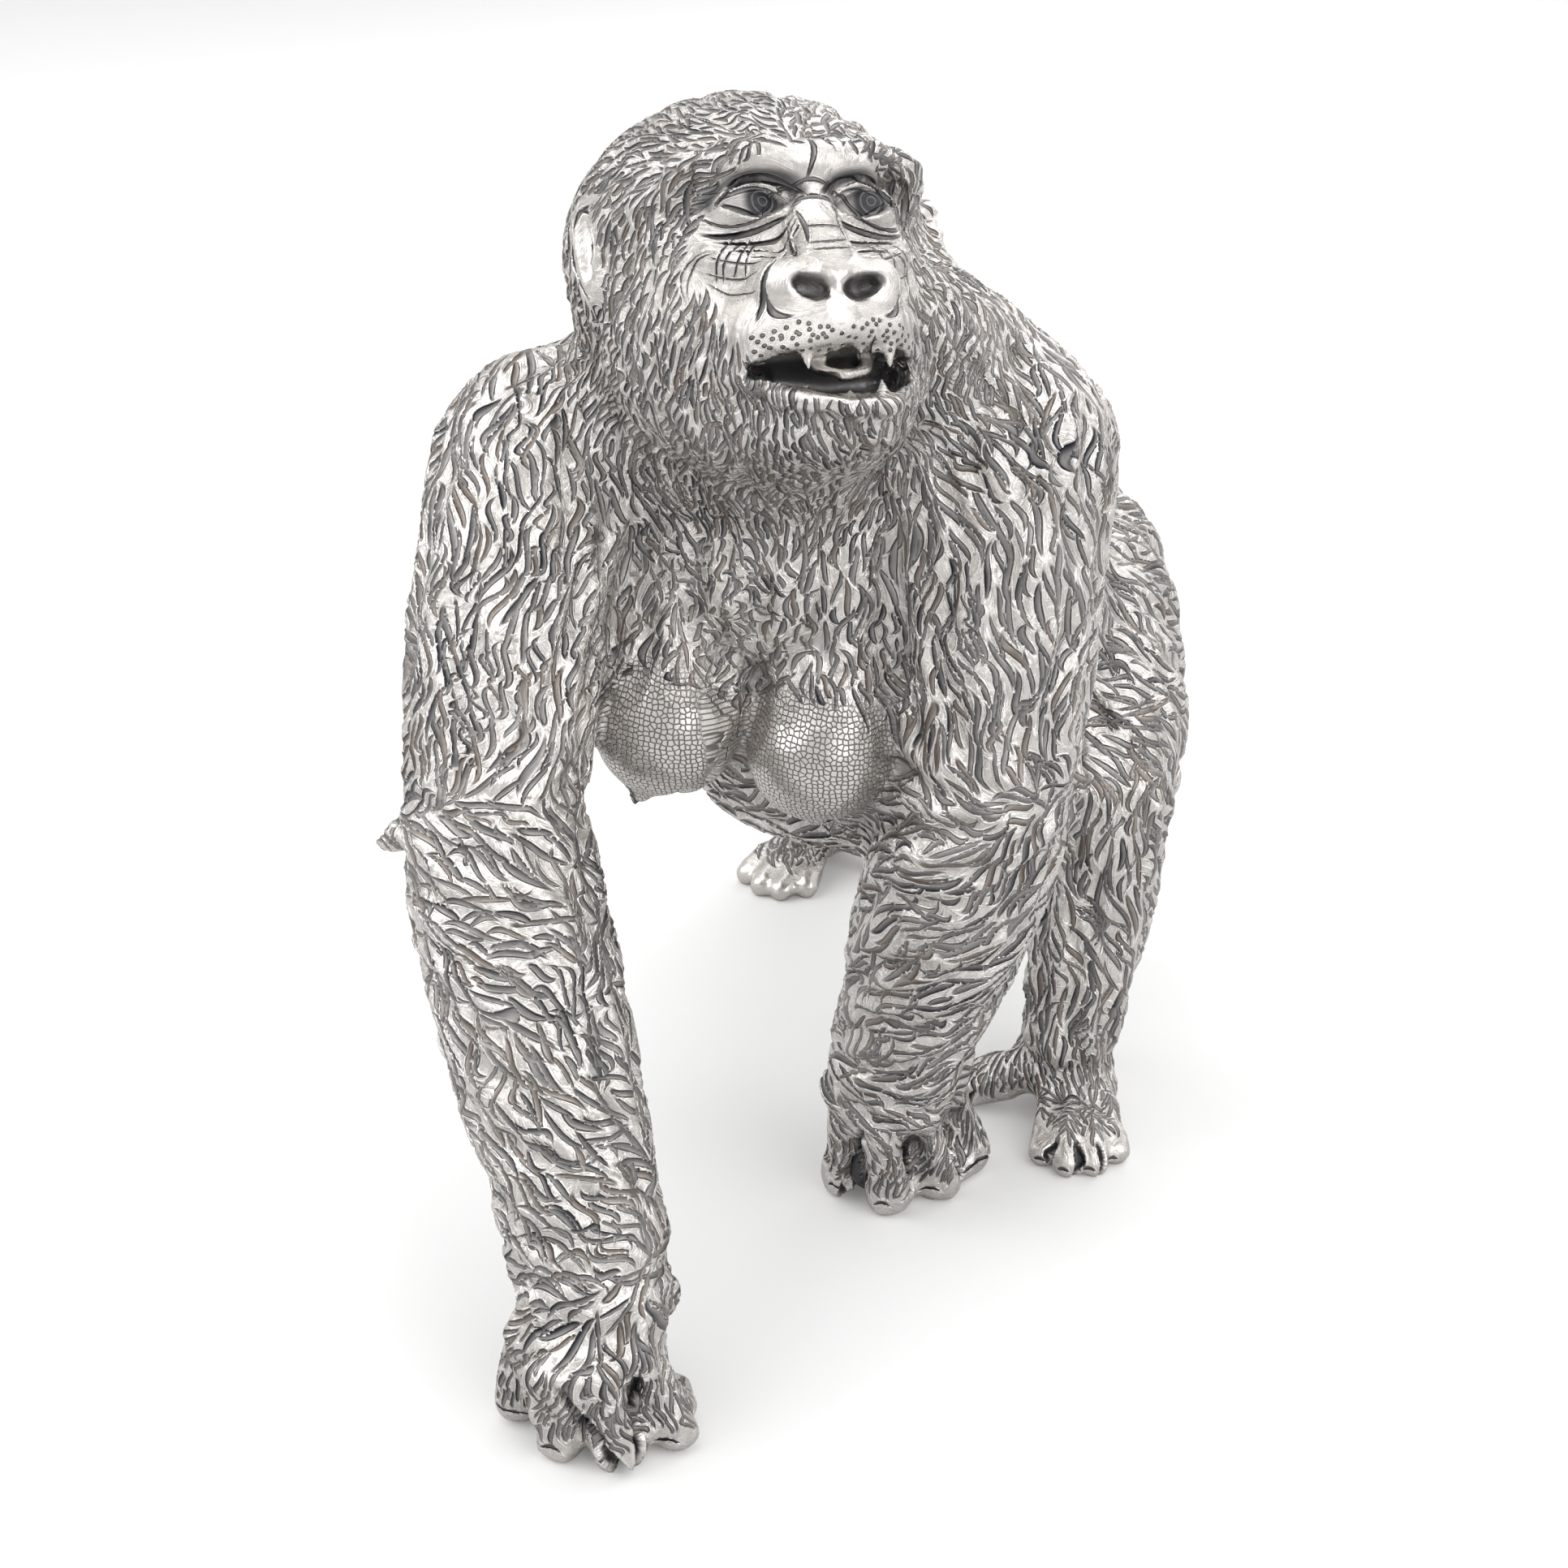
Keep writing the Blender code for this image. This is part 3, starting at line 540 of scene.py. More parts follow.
def wrists(clay):
    """The forearm runs down into the back of the hand without a waist."""
    for elbow, wrist, fuller in ((R_ELBOW, R_WRIST, 1.1), (L_ELBOW, L_WRIST, 1.06)):
        girth = WRIST_R * fuller
        lower = wrist + Vector((0, 0, -2.5))
        clay.link((along(elbow, wrist, 0.78), girth), (lower, (girth, girth * 0.92, 5.0)))


def eye_opening(x, z):
    """Shares of the way across and up the opening of an eye, and above 0 what lies inside it."""
    across = (np.abs(x) - EYE_SPACING) / LID_WIDTH
    height = np.where(z > EYE_HEIGHT, LID_HEIGHT, LID_HEIGHT * LOWER_LID)
    up = (z - EYE_HEIGHT - LID_SLANT * across) / height
    return across, up, (1 - across**2) - np.abs(up)


def press_eyes(body):
    """Sinks each eyeball between its lids, and raises the lids round it."""
    data = body.data
    points = vectors(data.vertices, "co")
    x, y, z = in_head(points).T
    across, up, edge = eye_opening(x, z)
    shift = 0.42 * smoothstep(edge, -0.08, 0.14)
    shift -= 0.34 * np.exp(-(((edge + 0.22) / 0.17) ** 2))
    # the ball swells a little in the middle
    shift -= 0.3 * np.clip(edge, 0, 1) ** 0.5
    shift[(y > -7) | (np.abs(across) > 1.5) | (np.abs(up) > 2.2)] = 0
    ahead = np.array(head_frame().to_3x3() @ Vector((0, 1, 0)))
    put_back(data, points + shift[:, None] * ahead)


def nose_bumps(clay):
    """Small swellings over the bridge of the nose."""
    upper = ((-1.5, 1.3, 0.6), (0.0, 1.5, 0.75), (1.5, 1.2, 0.6))
    for x, z, size in (*upper, (-0.8, -0.1, 0.65), (0.9, -0.2, 0.6)):
        clay.ball((x, -14.1 + 0.25 * abs(x), z), (size, 0.8, size * 0.8))


def remesh(body, voxel, rounding):
    weld = body.modifiers.new("weld", "REMESH")
    weld.mode = "VOXEL"
    weld.voxel_size = voxel
    round_off = body.modifiers.new("round", "SMOOTH")
    round_off.iterations = rounding
    round_off.factor = 0.5


def settled(source, name):
    """The object's evaluated mesh as a new object, in place of the old one."""
    bpy.context.view_layer.update()
    graph = bpy.context.evaluated_depsgraph_get()
    data = bpy.data.meshes.new_from_object(source.evaluated_get(graph))
    bpy.data.objects.remove(source)
    made = bpy.data.objects.new(name, data)
    bpy.context.scene.collection.objects.link(made)
    return made


def forms():
    """The whole animal as one closed skin, before any chasing."""
    clay = Clay()
    trunk(clay)
    limbs(clay)
    clay.frame = head_frame()
    skull(clay)
    masses = clay.done("masses")
    remesh(masses, BODY_VOXEL, BODY_ROUNDING)
    masses = settled(masses, "masses")
    clay = Clay()
    clay.absorb(masses)
    elbow_tufts(clay)
    hands(clay)
    wrists(clay)
    feet(clay)
    breasts(clay)
    clay.frame = head_frame()
    face(clay)
    nose_bumps(clay)
    body = clay.done("body")
    remesh(body, FINE_VOXEL, FINE_ROUNDING)
    clay = Clay(head_frame())
    face_hollows(clay)
    hollows = clay.done("face_hollows")
    remesh(hollows, FINE_VOXEL * 0.7, 1)
    hollows = settled(hollows, "face_hollows")
    cut = body.modifiers.new("hollows", "BOOLEAN")
    cut.operation = "DIFFERENCE"
    cut.object = hollows
    body = settled(body, "body")
    bpy.data.objects.remove(hollows)
    return body


def vectors(items, name):
    values = np.empty(len(items) * 3)
    items.foreach_get(name, values)
    return values.reshape(-1, 3)


def whole_numbers(items, name, each=1):
    values = np.empty(len(items) * each, np.int32)
    items.foreach_get(name, values)
    return values


def put_back(data, points):
    data.vertices.foreach_set("co", points.ravel())
    data.update()


def keep(data, name, values, domain="POINT"):
    """Stores a number or a vector for each point, or each corner, under a name."""
    kind, field = ("FLOAT", "value") if values.ndim == 1 else ("FLOAT_VECTOR", "vector")
    layer = data.attributes.new(name, kind, domain)
    layer.data.foreach_set(field, values.astype(np.float32).ravel())


def refine(body):
    """Halves the mesh size over the head, the hands and the feet, whose chasing is finer."""
    data = body.data
    centres = vectors(data.polygons, "center")
    local = in_head(centres)
    chosen = (np.linalg.norm(local, axis=1) < FINE_HEAD) & (local[:, 1] < FINE_HEAD_BACK)
    chosen |= centres[:, 2] < FINE_FEET
    mesh = bmesh.new()
    mesh.from_mesh(data)
    mesh.faces.ensure_lookup_table()
    edges = {edge for index in np.flatnonzero(chosen) for edge in mesh.faces[index].edges}
    bmesh.ops.subdivide_edges(mesh, edges=list(edges), cuts=1, use_grid_fill=True)
    mesh.to_mesh(data)
    mesh.free()


def edge_pairs(data):
    return whole_numbers(data.edges, "vertices", 2).reshape(-1, 2)


def softened(values, edges, rounds):
    """Values evened out between neighbours on the mesh."""
    count = len(values)
    first, second = edges.T
    degree = np.bincount(first, minlength=count) + np.bincount(second, minlength=count)
    for _ in range(rounds):
        total = np.empty_like(values)
        for axis in range(values.shape[1]):
            total[:, axis] = np.bincount(first, values[second, axis], count)
            total[:, axis] += np.bincount(second, values[first, axis], count)
        values = 0.5 * (values + total / np.maximum(degree, 1)[:, None])
    return values


def carve_locks(body):
    """Long, wavy, tapering dips along the way the hair lies, under the fine grooves."""
    data = body.data
    points = vectors(data.vertices, "co")
    normals = vectors(data.vertices, "normal")
    flow = fur_flow(points, normals)
    cover = fur_cover(points)
    size = 0.62 + 0.38 * smoothstep(np.linalg.norm(in_head(points), axis=1), 20, 26)
    tree = KDTree(len(points))
    for index, point in enumerate(points):
        tree.insert(point, index)
    tree.balance()
    chance = np.random.default_rng(7)
    spots = chance.uniform((-48, -72, 2), (42, 94, 126), (LOCK_TRIES, 3))
    phases = chance.uniform(0, 6.28, LOCK_TRIES)
    free = cover > 0.3
    depth = np.zeros(len(points))
    for spot, phase in zip(spots, phases):
        near = tree.find_range(spot, 1.5)
        if not near:
            continue
        start = min(near, key=lambda found: found[2])[1]
        if not free[start]:
            continue
        scale = size[start]
        reach = tree.find_range(points[start], LOCK_LENGTH * scale * 0.5)
        near = np.fromiter((found[1] for found in reach), int)
        near = near[normals[near] @ normals[start] > 0.2]
        side = np.cross(normals[start], flow[start])
        apart = points[near] - points[start]
        run = (apart @ flow[start]) / (LOCK_LENGTH * scale * 0.5)
        bend = 0.55 * scale * np.sin(run * 3.0 + phase)
        off = (apart @ side + bend) / (LOCK_HALF_WIDTH * scale)
        cut = np.clip(1 - off**2, 0, 1) * np.clip(1 - run**2, 0, 1)
        depth[near] = np.maximum(depth[near], cut * scale * cover[start])
        oval = (run / 0.75) ** 2 + (off * LOCK_HALF_WIDTH / LOCK_SPACING) ** 2
        free[near[oval < 1]] = False
    put_back(data, points - normals * (depth * LOCK_DEPTH)[:, None])


def groove_level(run, off):
    """1 in the middle of a groove, 0 at its edge, and less outside."""
    return 1 - run**2 - off**2


class Chasing:
    """Every groove cut into the skin: where it starts, its way, and its size."""

    def __init__(self, body):
        self.data = body.data
        self.points = vectors(self.data.vertices, "co")
        self.centres = vectors(self.data.polygons, "center")
        self.normals = vectors(self.data.polygons, "normal")
        self.tree = KDTree(len(self.centres))
        for index, centre in enumerate(self.centres):
            self.tree.insert(centre, index)
        self.tree.balance()
        self.best = np.full(len(self.centres), -1e6)
        self.owner = np.full(len(self.centres), -1)
        self.rows = []
        self.plain_rows = 0

    def cut(self, place, way, normal, half_length, half_width, depth, curl=0.0, sway=0.0):
        """One bent oval groove. Returns the faces near it and where they lie on it."""
        side = np.cross(normal, way)
        reach = self.tree.find_range(place, half_length * 1.1 + 2.6 * half_width + abs(curl))
        near = np.fromiter((found[1] for found in reach), int)
        near = near[self.normals[near] @ normal > 0.1]
        apart = self.centres[near] - place
        run = apart @ way / half_length
        off = (apart @ side + curl * (1 - run**2) + sway * run * (1 - run**2)) / half_width
        level = groove_level(run, off)
        better = level > self.best[near]
        self.best[near[better]] = level[better]
        self.owner[near[better]] = len(self.rows)
        self.rows.append((*place, *way, *side, half_length, half_width, depth, curl, sway))
        return near, run, off

    def carve(self):
        """Pushes the grooves into the mesh, and keeps each face's place on its groove."""
        data = self.data
        vertex = whole_numbers(data.loops, "vertex_index")
        owner = np.repeat(self.owner, whole_numbers(data.polygons, "loop_total"))
        rows = np.array(self.rows)[np.maximum(owner, 0)]
        apart = self.points[vertex] - rows[:, 0:3]
        run = (apart * rows[:, 3:6]).sum(axis=1) / rows[:, 9]
        bend = rows[:, 12] * (1 - run**2) + rows[:, 13] * run * (1 - run**2)
        off = ((apart * rows[:, 6:9]).sum(axis=1) + bend) / rows[:, 10]
        bare = owner < 0
        run[bare], off[bare] = 0, 3
        level = np.clip(groove_level(run, off), 0, 1) ** 0.6
        depth = np.zeros(len(self.points))
        np.maximum.at(depth, vertex, level * rows[:, 11])
        put_back(data, self.points - vectors(data.vertices, "normal") * depth[:, None])
        # the third number tells one groove from the next
        tag = np.where(owner >= self.plain_rows, 0.6, (owner * 0.61803) % 1.0)
        keep(data, "hair", np.stack([run, off, tag], axis=1), "CORNER")


def fur_sizes(points):
    """How large the grooves are at each point, and how far they curl."""
    head = 1 - smoothstep(np.linalg.norm(in_head(points), axis=1), 21, 27)
    chest = np.exp(-(((points - np.array((-5.0, -18.0, 72.0))) / np.array((17, 13, 16))) ** 2).sum(axis=1))
    chest *= 1 - head
    low = 1 - smoothstep(points[:, 2], 7, 15)
    return (1 - 0.5 * head - 0.25 * chest) * (1 - 0.48 * low), chest


def fur(chasing):
    """Rows of wavy grooves, side by side, each along the way that the hair lies."""
    centres, normals = chasing.centres, chasing.normals
    flow = fur_flow(centres, normals)
    sizes, curls = fur_sizes(centres)
    chance = np.random.default_rng(11)
    pads = centres[:, 2] < PAD_HEIGHT
    free = (fur_cover(centres) > 0.35) & ~pads
    for start in chance.permutation(len(centres)):
        if not free[start]:
            continue
        place, normal, way, scale = centres[start], normals[start], flow[start], sizes[start]
        spin = noise.noise(Vector(place * 0.11)) * 0.9 + chance.uniform(-0.16, 0.16)
        spin += curls[start] * chance.uniform(-0.7, 0.7)
        way = way * math.cos(spin) + np.cross(normal, way) * math.sin(spin)
        half_length = FUR_LENGTH * scale * chance.uniform(0.45, 1.2) * (1 - 0.35 * curls[start])
        half_width = FUR_WIDTH * scale**0.6 * chance.uniform(0.75, 1.35)
        curl = noise.noise(Vector(place * 0.17 + 40)) * 1.9 + chance.uniform(-0.3, 0.3)
        curl = scale * curl + curls[start] * math.copysign(0.6, chance.uniform(-1, 1))
        sway = (noise.noise(Vector(place * 0.15 + 90)) * 3.6 + chance.uniform(-0.5, 0.5)) * scale
        depth = FUR_DEPTH * scale * chance.uniform(0.7, 1.2)
        near, run, off = chasing.cut(place, way, normal, half_length, half_width, depth, curl, sway)
        # the next grooves start outside an oval round this one
        oval = (run / 1.35) ** 2 + (off * half_width / (FUR_SPACING * scale**0.8)) ** 2
        free[near[oval < 1]] = False
    chasing.plain_rows = len(chasing.rows)


def met(skin, start, way):
    """The first point of the skin on the way from the start, and its normal."""
    _, hit, normal, _ = skin.ray_cast(start, way)
    return np.array(hit), np.array(normal)


def on_face(skin, x, z):
    """The point of the skin straight in front of (x, z) on the face, and its normal."""
    matrix = head_frame()
    return met(skin, matrix @ Vector((x, -40, z)), matrix.to_3x3() @ Vector((0, 1, 0)))


def on_ear(skin, side, y, z):
    """The point of the skin straight beside (y, z) on the ear, and its normal."""
    matrix = head_frame()
    return met(skin, matrix @ Vector((side * 24, y, z)), matrix.to_3x3() @ Vector((-side, 0, 0)))


def arc_between(chasing, first, centre, last, half_width, depth):
    """An arc engraved from the first point over the centre to the last one, each with its normal."""
    normal = centre[1]
    chord = last[0] - first[0]
    chord -= normal * (chord @ normal)
    half_length = np.linalg.norm(chord) / 2
    way = chord / (2 * half_length)
    side = np.cross(normal, way)
    curl = -(centre[0] - (first[0] + last[0]) / 2) @ side
    chasing.cut(centre[0] + side * curl, way, normal, half_length * 1.06, half_width, depth, curl)


def face_lines(chasing, skin):
    chance = np.random.default_rng(5)

    def engrave(side, points, half_width=0.2, depth=0.16, stray=0.1):
        found = []
        for x, z in points:
            x = side * x + chance.uniform(-stray, stray)
            z += chance.uniform(-stray, stray)
            found.append(on_face(skin, x, z))
        arc_between(chasing, *found, half_width, depth)

    def eye(*points):
        return [(EYE_SPACING + x, EYE_HEIGHT + z) for x, z in points]

    for side in (-1, 1):
        # the lids: the line where each meets the ball, then the crease outside it
        for points, half_width, depth in (
            (((-3.0, -0.1), (0.0, 1.35), (3.0, 0.15)), 0.16, 0.15),
            (((-3.0, -0.1), (0.0, -1.15), (3.0, 0.15)), 0.16, 0.15),
            (((-3.7, -0.4), (0.0, 2.15), (4.2, 0.0)), 0.36, 0.45),
            (((-3.5, -0.9), (0.2, -1.75), (4.1, -0.5)), 0.17, 0.22),
        ):
            engrave(side, eye(*points), half_width, depth, 0)
        # folds under the eye, each from its inner corner, swinging lower and shorter
        for fold in range(5):
            inner = (-2.9 - 0.08 * fold, -1.2 - 0.42 * fold)
            sag = (0.5 - 0.55 * fold, -2.5 - 0.92 * fold)
            outer = (4.2 - 1.0 * fold, -1.7 - 1.15 * fold)
            engrave(side, eye(inner, sag, outer), 0.26, 0.42, 0.06)
        engrave(side, eye((-3.2, -1.6), (-3.5, -3.0), (-3.2, -5.2)), 0.24, 0.3)
        engrave(side, eye((-2.6, -2.6), (-2.5, -4.2), (-1.6, -6.0)), 0.22, 0.3)
        # scratches slanting over the cheek, and a few across them
        for step in range(6):
            x = 4.6 + step * 0.9
            lean = chance.uniform(-0.5, 0.5)
            low = -2.8 - 0.3 * step + lean
            across = [(x, 0.6 - 0.25 * step), (x + 1.1 + lean, -1.0), (x + 1.9, low)]
            engrave(side, across, 0.13, 0.16, 0.3)
        for step in range(3):
            z = -1.2 - step * 1.5
            across = [(4.9 + 0.8 * step, z - 1.0), (6.6 + 0.4 * step, z - 0.2), (8.2, z + 0.7)]
            engrave(side, across, 0.1, 0.12, 0.3)
        # fold beside the nose, down to the corner of the mouth
        engrave(side, [(5.2, -3.0), (6.3, -5.2), (6.9, -8.2)], 0.42, 0.4)
        engrave(side, [(5.9, -5.4), (5.5, -7.2), (3.9, -8.1)], 0.36, 0.35)
        # outer end of the eye socket
        engrave(side, [(9.5, 6.8), (10.1, 4.6), (9.7, 2.4)], 0.38, 0.35)
        engrave(side, [(9.3, 3.9), (10.0, 3.6), (10.9, 3.9)], 0.2)
        engrave(side, [(9.2, 2.7), (10.1, 2.1), (11.0, 2.2)], 0.2)
        # rim of the ear
        for low, high in ((-80, -20), (-25, 35), (30, 90), (85, 145), (140, 200)):
            found = []
            for angle in (low, (low + high) / 2, high):
                turn = math.radians(angle)
                back, up = 2.4 + 1.9 * math.cos(turn), EAR_HEIGHT + 4.0 * math.sin(turn)
                found.append(on_ear(skin, side, back, up))
            arc_between(chasing, *found, 0.42, 0.45)
    # notch between the brows, and wrinkles over the bridge
    for points, half_width, depth in (
        (((-0.5, 9.0), (-0.1, 7.8), (-0.9, 6.2)), 0.3, 0.35),
        (((-1.9, 4.6), (-0.3, 4.9), (1.5, 4.4)), 0.2, 0.16),
        (((-2.1, 3.1), (-0.2, 3.4), (1.8, 3.0)), 0.26, 0.22),
        (((-2.0, 0.6), (0.0, 0.4), (2.0, 0.6)), 0.22, 0.2),
        (((-1.9, -1.0), (0.0, -1.3), (2.0, -0.9)), 0.14, 0.16),
        (((-1.6, -1.9), (0.1, -2.2), (1.8, -1.8)), 0.12, 0.16),
    ):
        engrave(1, points, half_width, depth)
    # pits where the whiskers grow
    for row in range(5):
        for step in range(-8, 9):
            if abs(step) + row < 3:
                continue
            x = step * 0.88 + (row % 2) * 0.45 + chance.uniform(-0.25, 0.25)
            z = -8.5 - row * 0.5 - 0.012 * x * x + chance.uniform(-0.2, 0.2)
            engrave(1, [(x - 0.19, z), (x, z), (x + 0.19, z)], 0.2, 0.16, 0)


def fingers(chasing, skin, palm, tips, length, top):
    """Clefts between neighbouring fingers or toes, and the crease over the pad of each."""
    palm = Vector((palm[0], palm[1], 0))

    def seen_from(outside, height):
        start = outside + Vector((0, 0, height))
        aim = palm + Vector((0, 0, height)) - start
        return met(skin, start, aim.normalized())

    tips = [Vector((*tip[:2], 0)) for tip in tips]
    for first, second in zip(tips, tips[1:]):
        middle = (first + second) / 2
        outside = middle + (middle - palm).normalized() * 9
        low, high = seen_from(outside, 0.9), seen_from(outside, top)
        between = seen_from(outside, (0.9 + top) / 2)
        chord = high[0] - low[0]
        half_length = np.linalg.norm(chord) / 2
        way = chord / (2 * half_length)
        normal = between[1] - way * (between[1] @ way)
        normal /= np.linalg.norm(normal)
        chasing.cut((low[0] + high[0]) / 2, way, normal, half_length * 1.35, length * 0.34, length * 0.75)
    for tip in tips:
        ahead = (tip - palm).normalized()
        across = Vector((-ahead.y, ahead.x, 0))
        found = []
        for share, height in ((-0.8, 0.85), (0, 1.05), (0.8, 0.85)):
            found.append(seen_from(tip + ahead * 9 + across * share * length, height * length))
        arc_between(chasing, *found, 0.24, 0.35)


def digits(chasing, skin):
    """The clefts of both hands and of the left foot: middle of the palm, tips, size, and top."""
    fingers(chasing, skin, (-4.0, -48.0), R_FINGERS, FINGER_R, 9.0)
    fingers(chasing, skin, (6.0, -3.0), L_FINGERS, FINGER_R, 8.0)
    fingers(chasing, skin, (22.0, 16.0), L_TOES, TOE_PAD, 3.6)


def net_of_skin(body):
    """Where the fine crackle of bare skin lies on each breast, laid out flat."""
    points = vectors(body.data.vertices, "co")
    net = np.zeros((len(points), 3))
    bare = 1 - fur_cover(points)
    for middle in (R_BREAST, L_BREAST):
        apart = points - np.array(middle + Vector((0, 4, 2)))
        near = np.linalg.norm(apart, axis=1) < 17
        spread = np.arctan2(apart[:, 0], -apart[:, 1]) * BREAST_R * 1.35
        net[near, 0] = spread[near] + middle.x
        net[near, 1] = apart[near, 2] + 0.12 * apart[near, 0]
        net[near, 2] = bare[near]
    keep(body.data, "net", net)


def cavities(body):
    """How far each point lies below the skin round it, for oxidised creases, with the mouth and nostrils
    darker and painted shade in the eye sockets.
    """
    data = body.data
    edges = edge_pairs(data)
    points = vectors(data.vertices, "co")
    soft = softened(points, edges, 40)
    below = ((soft - points) * vectors(data.vertices, "normal")).sum(axis=1)
    below = softened(below[:, None], edges, 3)[:, 0]
    x, y, z = in_head(points).T
    # the wide folds between limbs and trunk stay paler than those of the head, hands and feet
    fine = (1 - smoothstep(np.hypot(np.hypot(x, y), z), 19, 24)) + (points[:, 2] < 12)
    level = smoothstep(below, 0.05, 0.42) * (0.35 + 0.65 * np.clip(fine, 0, 1))
    # darker inside the open mouth, the further in the darker, and inside the nostrils
    mouth = ((x / 7.6) ** 2 + ((z + 12.2) / 2.9) ** 2 < 1) & (y < -2)
    level = np.maximum(level, np.where(mouth, 0.9 * smoothstep(y, -14.6, -12.6), 0))
    nostril = ((np.abs(x) - 2.45) / 2.05) ** 2 + ((z + 5.5 - 0.12 * np.abs(x)) / 1.1) ** 2
    level = np.maximum(level, np.where(y < -13, 0.85 * (1 - smoothstep(nostril, 0.5, 1.1)), 0))
    # deep shade between each brow and the upper lid, and round the outer corner of the eye
    beside = (np.abs(x) - EYE_SPACING) / 4.4
    above = (z - EYE_HEIGHT - 0.3) / 2.2
    far = np.hypot(beside, above)
    socket = smoothstep(far, 0.62, 0.8) * (1 - smoothstep(far, 0.9, 1.15)) * smoothstep(above, -0.45, 0.1)
    level = np.maximum(level, np.where(y < -5, 0.9 * socket, 0))
    keep(data, "cavity_oxide_and_shade", level)
    # place on the eyeball: across and up from the middle of the iris, then how far it is uncovered
    gaze = np.where(x > 0, EYE_SPACING + 0.5, 0.9 - EYE_SPACING)
    uncovered = smoothstep(eye_opening(x, z)[2], -0.02, 0.12) * (y < -7)
    keep(data, "eye", np.stack([x - gaze, z - EYE_HEIGHT - 0.1, uncovered], axis=1))


def settle_on_floor(body):
    """Flattens what would reach below the floor, then puts the metal in the solid's own place."""
    points = vectors(body.data.vertices, "co")
    points[:, 2] = np.maximum(points[:, 2], SOLE_CUT)
    low, high = points.min(axis=0), points.max(axis=0)
    box_low, box_high = (np.array(corner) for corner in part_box("gorilla"))
    shift = (box_low + box_high) / 2 / MM - (low + high) / 2
    shift[2] = -SOLE_CUT
    put_back(body.data, (points + shift) * MM)
    return shift


def split(body, shift, metal):
    """The one casting as lumps that meet edge to edge, so that none is too heavy."""
    data = body.data
    centres = vectors(data.polygons, "center") / MM - shift
    local = in_head(centres)
    bones = {
        "arm_right": ([R_SHOULDER + Vector((-3, -4, 0)), R_ELBOW, R_WRIST, (-5, -57, 3)], (11, 10, 9)),
        "arm_left": ([L_SHOULDER + Vector((5, 0, 0)), L_ELBOW, L_WRIST, (8, -7, 3)], (11, 10, 9)),
        "leg_right": ([R_HIP + Vector((-8, 2, -8)), R_KNEE, R_ANKLE, (-34, 60, 3)], (12, 9, 10)),
        "leg_left": ([L_HIP + Vector((8, -2, -8)), L_KNEE, L_ANKLE, (22, 12, 3)], (12, 8, 8)),
        "trunk_front": ([CHEST + Vector((0, 2, -6)), CHEST + Vector((0, 6, 4))], (20,)),
        "trunk_rear": ([LOINS + Vector((0, 6, 0)), HIPS + Vector((0, 4, 0))], (18,)),
    }
    names = list(bones)
    nearest = np.full((len(names), len(centres)), 1e9)
    for index, (joints, girths) in enumerate(bones.values()):
        for first, last, girth in zip(joints, joints[1:], girths):
            first, last = np.array(first), np.array(last)
            line = last - first
            share = np.clip((centres - first) @ line / (line @ line), 0, 1)
            apart = np.linalg.norm(centres - first - share[:, None] * line, axis=1) - girth
            nearest[index] = np.minimum(nearest[index], apart)
    region = nearest.argmin(axis=0)
    head = (np.linalg.norm(local, axis=1) < 24.5) & (local[:, 1] < 15.5)
    region[head] = len(names)
    region[head & (local[:, 1] < -4)] = len(names) + 1
    names += ["head_back", "head_front"]
    data.shade_smooth()
    normals = vectors(data.vertices, "normal")
    made = []
    for index, name in enumerate(names):
        mesh = bmesh.new()
        mesh.from_mesh(data)
        mark = mesh.verts.layers.int.new("from")
        for vert in mesh.verts:
            vert[mark] = vert.index
        mesh.faces.ensure_lookup_table()
        others = [mesh.faces[other] for other in np.flatnonzero(region != index)]
        bmesh.ops.delete(mesh, geom=others, context="FACES")
        lump = bpy.data.meshes.new(name)
        mesh.to_mesh(lump)
        mesh.free()
        origin = whole_numbers(lump.attributes["from"].data, "value")
        lump.normals_split_custom_set_from_vertices(normals[origin])
        lump.materials.append(metal)
        piece = bpy.data.objects.new(name, lump)
        bpy.context.scene.collection.objects.link(piece)
        made.append(piece)
    bpy.data.objects.remove(body)
    return made


